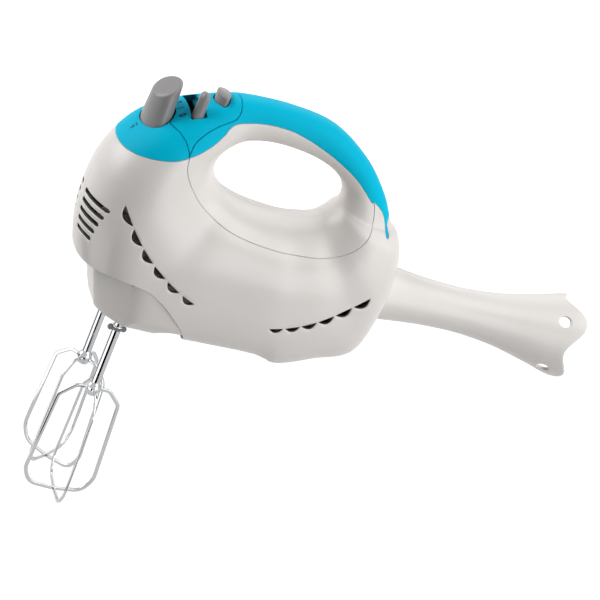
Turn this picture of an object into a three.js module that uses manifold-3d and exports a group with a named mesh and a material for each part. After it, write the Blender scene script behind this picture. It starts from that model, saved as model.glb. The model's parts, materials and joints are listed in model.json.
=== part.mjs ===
// A hand mixer with its blending rod fitted at the rear. Millimetres, +Z up, +X to the rear and -Y to the
// user's left. The origin lies on the neck's flat face, midway between the two beater sockets.
import * as THREE from "three";
import { mergeVertices } from "three/addons/utils/BufferGeometryUtils.js";
import Module from "manifold-3d";

const wasm = await Module();
wasm.setup();

// ---------------------------------------------------------------- driving dimensions

const WALL = 2.4; // thickness of the moulded shells
const GAP = 0.3; // clearance between pieces that seat on each other
const RUNNING = 0.35; // radial clearance of a turning piece
const MOTOR_HEIGHT = 50; // motor axis above the neck's flat face
const BEATER_SPACING = 38; // between the two beater axes
const BEATER_LENGTH = 136; // from the neck's flat face down to the beaters' feet
const ROD_LENGTH = 150.5; // from the rear face to the blending rod's mouth
const SHAFT_RADIUS = 3;

// Heights below are measured from the motor axis.
const NECK_FACE = -MOTOR_HEIGHT;
const UNDERSIDE = -53;
const REAR_FACE = 161;
const HALF_WIDTH = 41;
const ROD_END = REAR_FACE + ROD_LENGTH;
const BEATER_FOOT = NECK_FACE - BEATER_LENGTH;

const OPENING = { x: 69.5, z: 58.2, length: 89, height: 45.5, squareness: 2.25, tilt: -5 };

// Stations of the ring loft round the hand opening: direction from the opening's middle, outer point, half
// width, share of the depth where the section is widest, and how square its inner and outer ends are.
const STATIONS = [
  { angle: 2, x: REAR_FACE - 10, z: 51, half: 19, waist: 0.5, inner: 2.2, outer: 2.3 },
  { angle: 20, x: REAR_FACE - 22, z: 68, half: 15.5, waist: 0.5, inner: 2.2, outer: 2.3 },
  { angle: 42, x: REAR_FACE - 41.5, z: 86.5, half: 14.5, waist: 0.5, inner: 2.2, outer: 2.3 },
  { angle: 68, x: 92, z: 101.5, half: 14.5, waist: 0.5, inner: 2.2, outer: 2.3 },
  { angle: 95, x: 62, z: 105.5, half: 14.5, waist: 0.5, inner: 2.2, outer: 2.3 },
  { angle: 130, x: 30, z: 103.6, half: 15.5, waist: 0.5, inner: 2.2, outer: 2.4 },
  { angle: 150, x: 12, z: 98.5, half: 20, waist: 0.5, inner: 2.1, outer: 2.6 },
  { angle: 165, x: -10, z: 87.5, half: 27, waist: 0.52, inner: 1.9, outer: 2.5 },
  { angle: 175, x: -31, z: 68.5, half: 33, waist: 0.55, inner: 1.8, outer: 2.3 },
  { angle: 185, x: -43.5, z: 43, half: 37, waist: 0.55, inner: 1.8, outer: 2.2 },
  { angle: 194, x: -46, z: 16, half: 39, waist: 0.55, inner: 1.8, outer: 2.2 },
  { angle: 203, x: -42.5, z: -8, half: HALF_WIDTH - 1, waist: 0.55, inner: 1.9, outer: 2.3 },
  { angle: 213, x: -32, z: -35, half: HALF_WIDTH - 1, waist: 0.52, inner: 2.0, outer: 2.8 },
  { angle: 224, x: -18, z: UNDERSIDE - 0.5, half: HALF_WIDTH - 1, waist: 0.5, inner: 2.1, outer: 3.7 },
  { angle: 240, x: 10, z: UNDERSIDE - 2, half: HALF_WIDTH, waist: 0.47, inner: 2.2, outer: 4.2 },
  { angle: 256, x: 50, z: UNDERSIDE - 1, half: HALF_WIDTH, waist: 0.45, inner: 2.2, outer: 4.2 },
  { angle: 275, x: 88, z: UNDERSIDE - 1, half: HALF_WIDTH, waist: 0.43, inner: 2.2, outer: 4.0 },
  { angle: 290, x: 106, z: UNDERSIDE - 4.5, half: HALF_WIDTH - 1, waist: 0.42, inner: 2.2, outer: 4.0 },
  { angle: 305, x: REAR_FACE - 31, z: -49, half: 38.5, waist: 0.42, inner: 2.2, outer: 4.0 },
  { angle: 320, x: REAR_FACE - 5, z: -37, half: 36, waist: 0.45, inner: 2.2, outer: 4.0 },
  { angle: 336, x: REAR_FACE + 1.5, z: 0, half: 35, waist: 0.5, inner: 2.2, outer: 4.0 },
  { angle: 349, x: REAR_FACE + 1.5, z: 30, half: 31, waist: 0.5, inner: 2.2, outer: 3.0 },
  { angle: 355, x: REAR_FACE - 3, z: 45, half: 24, waist: 0.5, inner: 2.2, outer: 2.4 },
];

// The loft has a ring at each station, and one between each two of the handle's, which are further apart.
const HANDLE_STATIONS = 7;
const RING_PLACES = STATIONS.flatMap((_, i) => (i < HANDLE_STATIONS ? [i, i + 0.5] : [i]));
const SKIN_SAMPLES = 8; // points on half a ring
const LINER_SAMPLES = 4; // the same on the wall's inner side

// Side-view lines where the mouldings meet, as [x, z] points of smooth curves.
const COVER_EDGE = [
  [-60, 53], [-37.4, 57.5], [-23, 60.9], [-9.6, 64.3], [-1.8, 67.8], [5.4, 71.9], [12.2, 77.5], [17.4, 83.4],
  [22, 90.2], [32, 93], [44.4, 95], [58, 95], [70, 92.8], [86.5, 87.6], [102, 81],
  [REAR_FACE - 46, 73.8], [REAR_FACE - 33.2, 63.7],
];
// The strip's end: a narrow tongue down each flank, and an edge over the loop's rear between them.
const TAIL_TOP = 57.6;
const TAIL_EDGE = [
  [-31.4, 64.6], [-27.5, 62.4], [-23.8, 59.6], [-20.6, 55.6], [-19, 51.9], [-18.5, 48.6], [-18.1, 47],
  [-17.2, 46.3], [-16.2, 47.1], [-16, 48.7], [-16.7, 50.6], [-17.3, 52.6], [-16.8, 54.8], [-14.5, 56.6],
  [-11, 57.4], [-2, TAIL_TOP],
].map(([x, z]) => [REAR_FACE + x, z]);
const NOSE_SEAM = [
  [-1.7, 66], [-1.9, 69], [-3.8, 73], [-6.7, 76.6], [-10.5, 79.2], [-15, 80.2], [-18.5, 83], [-18.5, 95],
];
const WING_SEAM = [[-1.9, 68.6], [-0.7, 75.1], [2.2, 79.6], [8.3, 85.2], [16, 89.8], [22.5, 93.4]];
const PANEL_SEAM = [[22.4, 93.2], [24.2, 96.5], [25.3, 101], [26, 106]];
const HANDLE_SEAM = [
  [-1.7, 72], [-1.5, 68], [0, 60], [6.3, 50.6], [17.9, 39.2], [31, 31.3], [45.3, 26.6], [61.2, 24.2],
  [79.6, 23.2], [98.6, 24.4], [REAR_FACE - 48.6, 27.6], [REAR_FACE - 39.1, 34.7], [REAR_FACE - 32.4, 43.9],
  [REAR_FACE - 29.2, 50.6], [REAR_FACE - 29.4, 57.2], [REAR_FACE - 31.8, 64], [REAR_FACE - 35, 70],
];

// The neck: the line where it meets the shells, its underside, and a plan with a flat front and bowed sides.
const NECK_EDGE = [
  [-60, -20], [-34.7, -18.1], [-24.5, -17], [-15.8, -17], [-4, -18.3], [4.7, -20.4], [14.8, -26.2],
  [23, -32.7], [31.3, -40.4], [38, -49], [42, -60],
];
const NECK_HEEL = 5; // how much higher the neck's rear is than its flat face
const NECK_UNDER = [[-60, 0], [12, 0], [17, 0.8], [22, 3], [27, 4.6], [33, NECK_HEEL]];
const NECK_REAR = 38;
const NECK_TOP = -13;
const NECK_PLAN = { x: -34.5, half: 12.5, lean: 0.335, side: [-30, 28], rear: [-4, HALF_WIDTH + 1] };
const NECK_DRAFT = { from: -17, half: HALF_WIDTH - 0.7, slope: 0.075 };

const FAR = 400; // beyond every piece
const WIDE = [-60, 60]; // across the whole body, and clear of it
const FINE = 24; // sides of the larger round pieces and their bores

// ---------------------------------------------------------------- solids

function toSolid(geometry) {
  const bare = geometry.index ? geometry.toNonIndexed() : geometry.clone();
  bare.deleteAttribute("normal");
  bare.deleteAttribute("uv");
  const merged = mergeVertices(bare, 1e-4);
  return new wasm.Manifold(
    new wasm.Mesh({
      numProp: 3,
      vertProperties: new Float32Array(merged.attributes.position.array),
      triVerts: new Uint32Array(merged.index.array),
    }),
  );
}

function toGeometry(solid) {
  const { vertProperties, triVerts } = solid.getMesh();
  const geometry = new THREE.BufferGeometry();
  geometry.setAttribute("position", new THREE.BufferAttribute(new Float32Array(vertProperties), 3));
  geometry.setIndex(new THREE.BufferAttribute(new Uint32Array(triVerts), 1));
  geometry.computeVertexNormals();
  return geometry;
}

function box(x, y, z) {
  const geometry = new THREE.BoxGeometry(x[1] - x[0], y[1] - y[0], z[1] - z[0]);
  geometry.translate((x[0] + x[1]) / 2, (y[0] + y[1]) / 2, (z[0] + z[1]) / 2);
  return toSolid(geometry);
}

const around = (middle, half) => [middle - half, middle + half];

// A cylinder along one axis, from one place on it to another, through the point `at` of the other two axes.
function cylinder(axis, radius, span, at = [0, 0], sides = 12) {
  const geometry = new THREE.CylinderGeometry(radius, radius, span[1] - span[0], sides);
  geometry.translate(0, (span[0] + span[1]) / 2, 0);
  if (axis === "x") geometry.rotateZ(-Math.PI / 2).translate(0, at[0], at[1]);
  if (axis === "y") geometry.translate(at[0], 0, at[1]);
  if (axis === "z") geometry.rotateX(Math.PI / 2).translate(at[0], at[1], 0);
  return toSolid(geometry);
}

function tube(axis, outer, inner, span, at = [0, 0], sides = 16) {
  const bore = cylinder(axis, inner, [span[0] - 1, span[1] + 1], at, sides);
  return cylinder(axis, outer, span, at, sides).subtract(bore);
}

const toPoint = (p) => (p.isVector2 ? p : new THREE.Vector2(...p));
const smooth = (points, steps) => new THREE.SplineCurve(points.map(toPoint)).getPoints(steps);

// A side-view outline, in x and z, made solid across the width.
function prism(outline, y = WIDE) {
  const shape = new THREE.Shape(outline.map(toPoint));
  const geometry = new THREE.ExtrudeGeometry(shape, { depth: y[1] - y[0], bevelEnabled: false });
  return toSolid(geometry.rotateX(Math.PI / 2).translate(0, y[1], 0));
}

// A shape seen from the rear, in y and z, made solid along the length.
function crosswise(shape, x, curveSegments = 12) {
  const depth = x[1] - x[0];
  const geometry = new THREE.ExtrudeGeometry(shape, { depth, bevelEnabled: false, curveSegments });
  return toSolid(geometry.rotateY(Math.PI / 2).rotateX(Math.PI / 2).translate(x[0], 0, 0));
}

// A shape seen from above, made solid upwards.
function upright(shape, z, curveSegments = 10) {
  const depth = z[1] - z[0];
  const geometry = new THREE.ExtrudeGeometry(shape, { depth, bevelEnabled: false, curveSegments });
  return toSolid(geometry.translate(0, 0, z[0]));
}

// A strip of even thickness that follows a side-view line, made solid across the width.
function ribbon(line, thickness, y = WIDE) {
  const left = [], right = [];
  line.forEach((point, i) => {
    const before = line[Math.max(0, i - 1)], after = line[Math.min(line.length - 1, i + 1)];
    const side = new THREE.Vector2(before.y - after.y, after.x - before.x).setLength(thickness / 2);
    left.push(point.clone().add(side));
    right.unshift(point.clone().sub(side));
  });
  return prism([...left, ...right], y);
}

const slit = (line) => ribbon(line, GAP);

function revolve(profile, sides = 20) {
  const geometry = new THREE.LatheGeometry(profile.map(([r, x]) => new THREE.Vector2(r, x)), sides);
  return toSolid(geometry.rotateZ(-Math.PI / 2));
}

const union = (...solids) => solids.reduce((all, next) => all.add(next));

// ---------------------------------------------------------------- ring loft

const signedPower = (value, power) => Math.sign(value) * Math.abs(value) ** power;

function openingPoint(angle) {
  const turn = THREE.MathUtils.degToRad(angle), tilt = THREE.MathUtils.degToRad(OPENING.tilt);
  const along = (OPENING.length / 2) * signedPower(Math.cos(turn), 2 / OPENING.squareness);
  const up = (OPENING.height / 2) * signedPower(Math.sin(turn), 2 / OPENING.squareness);
  const x = OPENING.x + along * Math.cos(tilt) - up * Math.sin(tilt);
  return [x, OPENING.z + along * Math.sin(tilt) + up * Math.cos(tilt)];
}

// The smooth value between b and c, at t from 0 to 1, with a before them and d after.
function blend(a, b, c, d, t) {
  return 0.5 * (2 * b + (c - a) * t + (2 * a - 5 * b + 4 * c - d) * t * t + (3 * b - a - 3 * c + d) * t ** 3);
}

// The section at a place round the ring, counted in stations.
function sectionAt(place) {
  const first = Math.floor(place), count = STATIONS.length;
  const value = (key, i) => {
    const turns = Math.floor(i / count);
    return STATIONS[i - turns * count][key] + (key === "angle" ? 360 * turns : 0);
  };
  const at = (key) => blend(...[-1, 0, 1, 2].map((i) => value(key, first + i)), place - first);
  return Object.fromEntries(Object.keys(STATIONS[0]).map((key) => [key, at(key)]));
}

// A point of the outer surface. Across runs from -1 to 1 round the section: 0 at the opening, 1 or -1
// outside.
function surfacePoint(place, across) {
  const section = sectionAt(place);
  const [x, z] = openingPoint(section.angle);
  const turn = Math.PI * Math.abs(across), lean = Math.cos(turn), rise = Math.abs(Math.sin(turn));
  const power = lean > 0 ? section.inner : section.outer;
  const reach = (Math.abs(lean) ** power + rise ** power) ** (-1 / power);
  const depth = section.waist - reach * lean * (lean > 0 ? section.waist : 1 - section.waist);
  const y = Math.sign(across) * section.half * reach * rise;
  return new THREE.Vector3(x + (section.x - x) * depth, y, z + (section.z - z) * depth);
}

function inwardPoint(place, across, inset) {
  const point = surfacePoint(place, across);
  if (!inset) return point;
  const step = 0.02;
  const round = surfacePoint(place + step, across).sub(surfacePoint(place - step, across));
  const near = (a) => (a > 1 ? a - 2 : a < -1 ? a + 2 : a);
  const over = surfacePoint(place, near(across + step)).sub(surfacePoint(place, near(across - step)));
  return point.addScaledVector(over.cross(round).normalize(), inset);
}

function ringLoft(inset, half = LINER_SAMPLES) {
  const points = [], faces = [], across = 2 * half, rings = RING_PLACES.length;
  for (const place of RING_PLACES)
    for (let j = 0; j < across; j++) points.push(...inwardPoint(place, (j - half) / half, inset));
  for (let i = 0; i < rings; i++)
    for (let j = 0; j < across; j++) {
      const next = ((i + 1) % rings) * across, here = i * across, side = (j + 1) % across;
      faces.push(here + j, next + j, next + side, here + j, next + side, here + side);
    }
  const geometry = new THREE.BufferGeometry();
  geometry.setAttribute("position", new THREE.Float32BufferAttribute(points, 3));
  geometry.setIndex(faces);
  return toSolid(geometry);
}

// ---------------------------------------------------------------- materials and pieces

function finish(color, roughness, metalness = 0) {
  return new THREE.MeshStandardMaterial({ color, roughness, metalness });
}

const WHITE = finish(0xe4e3e1, 0.35);
const BLUE = finish(0x05b2dc, 0.35);
const GREY = finish(0x8b8988, 0.4);
const CHROME = finish(0xd8dadc, 0.12, 1);
const STEEL = finish(0x9a9ea3, 0.35, 1);
const COPPER = finish(0xb8693a, 0.35, 1);
const BRONZE = finish(0xa9824c, 0.45, 1);
const CARBON = finish(0x2b2b2d, 0.7);
const NYLON = finish(0xf0ede4, 0.5);
const RUBBER = finish(0x3a3c3f, 0.8);

const mixer = new THREE.Group();
mixer.position.z = MOTOR_HEIGHT;

function add(name, solid, material) {
  const mesh = new THREE.Mesh(toGeometry(solid), material);
  mesh.name = name;
  mixer.add(mesh);
}

const SIDES = [["left", -1], ["right", 1]];
const halfSpace = (sign) => box([-FAR, FAR], sign < 0 ? [-FAR, -GAP / 2] : [GAP / 2, FAR], [-FAR, FAR]);
const beaterAxis = (sign) => [0, (sign * BEATER_SPACING) / 2];

// The body of a set whose box reaches furthest along an axis, 0 for x or 2 for z, in the sign's direction.
function furthest(bodies, axis, end, sign = 1) {
  const reach = (body) => sign * body.boundingBox()[end][axis];
  return bodies.reduce((best, body) => (reach(body) > reach(best) ? body : best));
}

// ---------------------------------------------------------------- moulded body

// The rear face is flat up to this height, and the underside is flat between these two places.
const FLAT_REAR_TOP = 46;
const FLAT_UNDER = [34, 102];

function flattened(inset, samples) {
  const rear = box([REAR_FACE - inset, FAR], [-FAR, FAR], [-FAR, FLAT_REAR_TOP]);
  const floor = UNDERSIDE + inset;
  const under = box([FLAT_UNDER[0] - inset, FLAT_UNDER[1] + inset], [-FAR, FAR], [-FAR, floor]);
  return ringLoft(inset, samples).subtract(rear).subtract(under);
}

const bodySkin = flattened(0, SKIN_SAMPLES);
const cavity = flattened(WALL);
const seat = flattened(WALL + GAP);

const coverLine = [...smooth(COVER_EDGE, 18), ...smooth(TAIL_EDGE, 22)];
const neckLine = smooth(NECK_EDGE, 10);
const handleLine = smooth(HANDLE_SEAM, 15);
const coverPrism = prism([...coverLine, [FAR, TAIL_TOP], [FAR, FAR], [-60, FAR]]);
const neckCut = prism([...neckLine, [-60, -80]]);

// Controls' places on the control panel.
const PANEL_CUT = [60, 130]; // heights between which the panel's windows are cut
const BUTTON_GAP = 0.6;
const TRAY = [70, 72];
const SWITCH_TOP = 80;
const EJECT = { x: -19.5, y: -1, length: 9, width: 13, wall: 1.8, foot: 66, top: 97.3, slope: 0.52 };
const LEVER = {
  x: 0.2, y: -13.5, thick: 5.6, length: 8, lean: 0.08,
  foot: SWITCH_TOP + GAP, top: 104.5, carriage: 6, carriageHeight: 2.7,
};
const LEVER_SLOT = { x: [-4, 4.4], y: [-18, 18], well: 85, wall: 1.6 };
const TURBO = { x: 15.6, y: -1.5, length: 21, width: 8.5, top: 101.5, crown: 22, travel: 2.5 };

function ellipseColumn(at, radii, z, sides = 24) {
  const geometry = new THREE.CylinderGeometry(1, 1, z[1] - z[0], sides);
  geometry.rotateX(Math.PI / 2).scale(radii[0], radii[1], 1).translate(at[0], at[1], (z[0] + z[1]) / 2);
  return toSolid(geometry);
}

// A leaf-shaped column: two arcs that meet in points at its ends across the panel.
function leafColumn({ x, y, length, width }, z, grow = 0) {
  const shape = new THREE.Shape();
  const tip = length / 2 + 1.5 * grow, side = width + 2 * grow;
  shape.moveTo(x, y - tip);
  shape.quadraticCurveTo(x + side, y, x, y + tip);
  shape.quadraticCurveTo(x - side, y, x, y - tip);
  return upright(shape, z);
}

const NOSE_SLOTS = { count: 5, top: 21.5, pitch: 5.75, height: 2.3, y: [6, 29] };
const VENT_COUNT = 6;
const FRONT_VENTS = {
  from: [-24.9, 25], bend: [-2.4, -5], to: [28.4, -18.2],
  chord: [12, 9], depth: [3.6, 3],
};
const REAR_VENTS = {
  from: [90.5, -24.5], bend: [116.5, -18.6], to: [REAR_FACE - 20.6, 4.5],
  chord: [8.6, 11.3], depth: [2.5, 3.8],
};
const VENT_REACH = [25, 60]; // across, from inside the wall to outside the body

const mirrored = (span, sign) => span.map((v) => sign * v).sort((a, b) => a - b);

function noseSlots(sign) {
  return Array.from({ length: NOSE_SLOTS.count }, (_, i) => {
    const middle = NOSE_SLOTS.top - i * NOSE_SLOTS.pitch;
    return box([-60, -28], mirrored(NOSE_SLOTS.y, sign), around(middle, NOSE_SLOTS.height / 2));
  });
}

// Half-moon vents along a bent row, each with its straight edge on the row.
function moonVents({ from, bend, to, chord, depth }, sign) {
  const row = new THREE.QuadraticBezierCurve(toPoint(from), toPoint(bend), toPoint(to));
  return Array.from({ length: VENT_COUNT }, (_, i) => {
    const t = i / (VENT_COUNT - 1), middle = row.getPoint(t), along = row.getTangent(t);
    const half = along.clone().multiplyScalar(THREE.MathUtils.lerp(...chord, t) / 2);
    const rise = 2 * THREE.MathUtils.lerp(...depth, t);
    const bulge = new THREE.Vector2(along.y, -along.x).setLength(rise).add(middle);
    const shape = new THREE.Shape();
    shape.moveTo(middle.x - half.x, middle.y - half.y);
    shape.lineTo(middle.x + half.x, middle.y + half.y);
    shape.quadraticCurveTo(bulge.x, bulge.y, middle.x - half.x, middle.y - half.y);
    return prism(shape.getPoints(3).slice(0, -1), mirrored(VENT_REACH, sign));
  });
}

// The well round the lever's slot, which keeps flour off the switches.
function leverWell() {
  const { x, y, well, wall } = LEVER_SLOT;
  const outside = box([x[0] - wall, x[1] + wall], [y[0] - wall, y[1] + wall], [well, PANEL_CUT[1]]);
  return outside.intersect(ringLoft(WALL / 2));
}

function mouldedBody() {
  const shell = bodySkin.subtract(cavity).subtract(neckCut).subtract(slit(coverLine));
  const white = shell.subtract(coverPrism).subtract(slit(handleLine));
  const outlet = cylinder("x", OUTLET.hole, [REAR_FACE - 20, REAR_FACE + 10], [0, 0], FINE);
  const gland = glandBore(GLAND.radius + GAP, 12);
  for (const [side, sign] of SIDES) {
    const vents = [...noseSlots(sign), ...moonVents(FRONT_VENTS, sign), ...moonVents(REAR_VENTS, sign)];
    const half = vents.reduce((all, vent) => all.subtract(vent), white.intersect(halfSpace(sign)));
    const bodies = half.subtract(outlet).subtract(gland).decompose();
    const housing = furthest(bodies, 2, "min", -1);
    add("housing_" + side, housing, WHITE);
    add("handle_" + side, furthest(bodies.filter((b) => b !== housing), 0, "max", 1), WHITE);
  }
  const seams = [smooth(NOSE_SEAM, 8), smooth(WING_SEAM, 6), smooth(PANEL_SEAM, 3)].map(slit);
  const ejectHole = [EJECT.length + BUTTON_GAP, EJECT.width + BUTTON_GAP];
  const windows = [
    ellipseColumn([EJECT.x, EJECT.y], ejectHole, PANEL_CUT),
    box(LEVER_SLOT.x, LEVER_SLOT.y, PANEL_CUT),
    leafColumn(TURBO, PANEL_CUT, BUTTON_GAP),
  ];
  const covers = shell.intersect(coverPrism).add(leverWell());
  const pieces = [...seams, ...windows].reduce((all, cut) => all.subtract(cut), covers);
  const bodies = pieces.decompose().filter((b) => b.volume() > 50);
  const nose = furthest(bodies, 0, "min", -1);
  const grip = furthest(bodies, 0, "max", 1);
  add("nose_cover", nose, BLUE);
  add("grip_strip", grip, BLUE);
  add("control_panel", bodies.find((b) => b !== nose && b !== grip), BLUE);
}

// The neck's plan: a flat front that leans back downwards, with sides that bow out to the body's width.
function neckPlan(inset) {
  const { x, half, lean, side, rear } = NECK_PLAN;
  const shape = new THREE.Shape();
  shape.moveTo(x + inset, half - inset / 2);
  shape.lineTo(x + inset, inset / 2 - half);
  shape.quadraticCurveTo(side[0] + inset, inset - side[1], rear[0] + inset, inset - rear[1]);
  shape.lineTo(WIDE[1], inset - rear[1]);
  shape.lineTo(WIDE[1], rear[1] - inset);
  shape.lineTo(rear[0] + inset, rear[1] - inset);
  shape.quadraticCurveTo(side[0] + inset, side[1] - inset, x + inset, half - inset / 2);
  const geometry = new THREE.ExtrudeGeometry(shape, { depth: 60, bevelEnabled: false, curveSegments: 5 });
  const shear = new THREE.Matrix4().makeShear(0, 0, 0, 0, -lean, 0);
  return toSolid(geometry.applyMatrix4(shear).translate(60 * lean, 0, -60));
}

// Sides that draw in downwards, so that the neck leaves its mould.
function neckDraft() {
  const { from, half, slope } = NECK_DRAFT, foot = -80;
  const drawn = half - slope * (from - foot);
  const outline = [[-half, from], [-drawn, foot], [drawn, foot], [half, from]];
  return crosswise(new THREE.Shape(outline.map(toPoint)), WIDE);
}

function gearNeck() {
  const raised = (by) => neckLine.map((p) => new THREE.Vector2(p.x, p.y + by));
  const profile = (inset, top) => {
    const under = NECK_UNDER.map(([x, z]) => [x, NECK_FACE + z + inset]);
    const rear = NECK_REAR - inset;
    return prism([...under, [rear, NECK_FACE + NECK_HEEL + inset], [rear, top], [WIDE[0], top]]);
  };
  const form = profile(0, NECK_TOP).intersect(neckPlan(0));
  const shown = bodySkin.intersect(prism([...raised(-GAP), [-60, -80]])).intersect(neckDraft());
  const plug = ringLoft(WALL + GAP).add(shown).intersect(form);
  const flange = seat.intersect(prism([...raised(GAP), ...raised(GAP + WALL).reverse()]));
  const hollow = ringLoft(2 * WALL + GAP).intersect(profile(WALL, 0)).intersect(neckPlan(WALL));
  const shaftWay = box([30, 45], [-26, 26], [-26, 0]);
  let neck = plug.add(flange).subtract(hollow).subtract(shaftWay);
  for (const [, sign] of SIDES) {
    const at = beaterAxis(sign);
    neck = neck
      .add(cylinder("z", SPINDLE.bush + WALL, [NECK_FACE, SPINDLE.bushTop - 2], at).intersect(plug))
      .subtract(cylinder("z", SPINDLE.bush + GAP, [SPINDLE.bushFoot - GAP, SPINDLE.bushTop + 5], at))
      .subtract(cylinder("z", SPINDLE.hub + RUNNING, [NECK_FACE - 5, SPINDLE.bushTop + 5], at));
  }
  add("gear_neck", furthest(neck.decompose(), 2, "min", -1), WHITE);
}

// ---------------------------------------------------------------- gearbox and ejector

const WORM = { radius: 4.2, root: 3.2, thread: 1.6, half: 12 };
const MESH_GAP = 0.4;
const WHEEL = { radius: BEATER_SPACING / 2 - WORM.radius - MESH_GAP, teeth: 15, tooth: 2, half: 4 };
const TOOTH_PITCH = (2 * Math.PI * WHEEL.radius) / WHEEL.teeth;
const SPINDLE = {
  hub: 5, bush: 6.8, bore: 3.3, bottom: NECK_FACE + 1, top: 9.5,
  bushFoot: NECK_FACE + 6, bushTop: NECK_FACE + 16,
};
const COVER_PLATE = [6, 8.5];
const FLOOR_PLATE = [-12, -9];
const BEATER_TOP = -2;
const PIN_TOP = 11;
const FORK = { plate: [20, 23], finger: 2, half: 2.5, stem: 8, end: 4 };
const EJECT_SPRING = { radius: 4, wire: 0.9, turns: 3.5 };

// A wheel's outline, each tooth narrowing to half its root's width at its tip.
function toothedOutline({ radius, teeth, tooth }) {
  const flanks = [[-0.28, radius - tooth], [-0.14, radius], [0.14, radius], [0.28, radius - tooth]];
  const points = Array.from({ length: teeth }, (_, i) =>
    flanks.map(([share, r]) => {
      const turn = (2 * Math.PI * (i + share)) / teeth;
      return new THREE.Vector2(r * Math.cos(turn), r * Math.sin(turn));
    }));
  return new THREE.Shape(points.flat());
}

function gearbox() {
  for (const [side, sign] of SIDES) {
    const at = beaterAxis(sign);
    const rim = upright(toothedOutline(WHEEL), [-WHEEL.half, WHEEL.half]).translate([...at, 0]);
    const hub = cylinder("z", SPINDLE.hub, [SPINDLE.bottom, SPINDLE.top], at);
    const bore = cylinder("z", SPINDLE.bore, [SPINDLE.bottom - 1, SPINDLE.top + 1], at, 12);
    add("worm_wheel_" + side, rim.add(hub).subtract(bore), NYLON);
    const bush = tube("z", SPINDLE.bush, SPINDLE.hub + RUNNING, [SPINDLE.bushFoot, SPINDLE.bushTop], at);
    add("spindle_bush_" + side, bush, BRONZE);
    const pin = cylinder("z", SPINDLE.bore - RUNNING, [BEATER_TOP + GAP, PIN_TOP], at, 12);
    add("ejector_pin_" + side, pin, STEEL);
  }
  const hole = ([, sign]) => cylinder("z", SPINDLE.hub + RUNNING, [-20, 20], beaterAxis(sign));
  const holes = union(...SIDES.map(hole));
  const cover = box([-33, 15], WIDE, COVER_PLATE).intersect(seat);
  const noseBearing = box([-22, -18.5], [-7, 7], [-7, COVER_PLATE[1]]);
  const shaftHole = cylinder("x", SHAFT_RADIUS + RUNNING, [-30, 0]);
  add("gear_cover", cover.add(noseBearing.subtract(shaftHole)).subtract(holes), NYLON);
  const floor = box([-25, BRACKETS.front[0] - GAP], WIDE, FLOOR_PLATE).intersect(seat);
  add("gear_floor", floor.subtract(holes), NYLON);
}

function ejector() {
  const { x, y, length, width, wall, foot, top, slope } = EJECT;
  const reach = 40, rise = reach * slope, high = top + 80;
  const sloped = [[x - reach, top - rise], [x + reach, top + rise], [x + reach, high], [x - reach, high]];
  const column = ellipseColumn([x, y], [length, width], [foot, PANEL_CUT[1]]).subtract(prism(sloped));
  const hollow = ellipseColumn([x, y], [length - wall, width - wall], [foot - 6, top - 5.3]);
  const rib = box(around(x, 3), around(y, width - 1.5), [foot, top - 5.3]);
  add("eject_button", column.subtract(hollow).add(rib), GREY);
  const spacing = BEATER_SPACING / 2, { plate, finger, half, stem, end } = FORK;
  const post = box(around(x, half), [-stem, stem], [plate[0], foot - GAP]);
  const notch = box([x + 4, 10], around(0, spacing - end), [0, 40]);
  const arm = box([x - half, end], around(0, spacing + end), plate).subtract(notch);
  const fingerSpan = [PIN_TOP + GAP, plate[0] + 1];
  const fingers = SIDES.map(([, sign]) => cylinder("z", finger, fingerSpan, beaterAxis(sign)));
  add("ejector_fork", union(post, arm, ...fingers), NYLON);
  const { radius, wire, turns } = EJECT_SPRING;
  const heights = [COVER_PLATE[1] + GAP + wire / 2, plate[0] - GAP - wire / 2];
  add("ejector_spring", coil(new Helix("z", radius, turns, heights, [x + 2, 0]), wire, 9), STEEL);
}

// A helix along x through the axis `at`, or along z.
class Helix extends THREE.Curve {
  constructor(axis, radius, turns, span, at = [0, 0]) {
    super();
    Object.assign(this, { axis, radius, turns, span, at });
  }

  getPoint(t, target = new THREE.Vector3()) {
    const turn = 2 * Math.PI * this.turns * t;
    const u = this.at[0] + this.radius * Math.cos(turn), v = this.at[1] + this.radius * Math.sin(turn);
    const along = THREE.MathUtils.lerp(...this.span, t);
    return this.axis === "z" ? target.set(u, v, along) : target.set(along, u, v);
  }
}

function coil(helix, wire, stepsPerTurn) {
  const half = wire / 2;
  const shape = new THREE.Shape([[half, 0], [0, half], [-half, 0], [0, -half]].map(toPoint));
  const steps = Math.round(helix.turns * stepsPerTurn);
  return toSolid(new THREE.ExtrudeGeometry(shape, { steps, extrudePath: helix, bevelEnabled: false }));
}

// ---------------------------------------------------------------- motor

const STACK = { x: [46, 84], outer: 27, bore: 23, pole: 17.2, half: 40 };
const ARMATURE = { radius: 16.7, slots: 12, slot: [11, 30], slotHalf: 1 };
const WINDING_RADIUS = 14;
const FAN = { x: [24, 35], radius: 23, hub: 7, blades: 8, blade: 1.6, plate: 2 };
const COMMUTATOR = { x: [92, 106], radius: 9 };
const BRACKETS = { front: [17, 20], rear: [113, 116], top: 33 };
const BEARING = { radius: 7, length: 7 };
const COUPLER = { x: [REAR_FACE - 18, REAR_FACE - 8], radius: 7, socket: 8 };
const BRUSH = { along: 3, up: 3, clearance: 0.3, holder: 5, reach: [11, 27] };
const onShaft = SHAFT_RADIUS + GAP;

function sector(radius, middle, half, x) {
  const start = THREE.MathUtils.degToRad(middle - half), end = THREE.MathUtils.degToRad(middle + half);
  const shape = new THREE.Shape([new THREE.Vector2(0, 0)]);
  shape.lineTo(radius * Math.cos(start), radius * Math.sin(start));
  shape.absarc(0, 0, radius, start, end, false);
  return crosswise(shape, x, 10);
}

const cylinderThrough = (radius, x) => cylinder("x", radius, [x[0] - 1, x[1] + 1], [0, 0], FINE);

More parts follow.
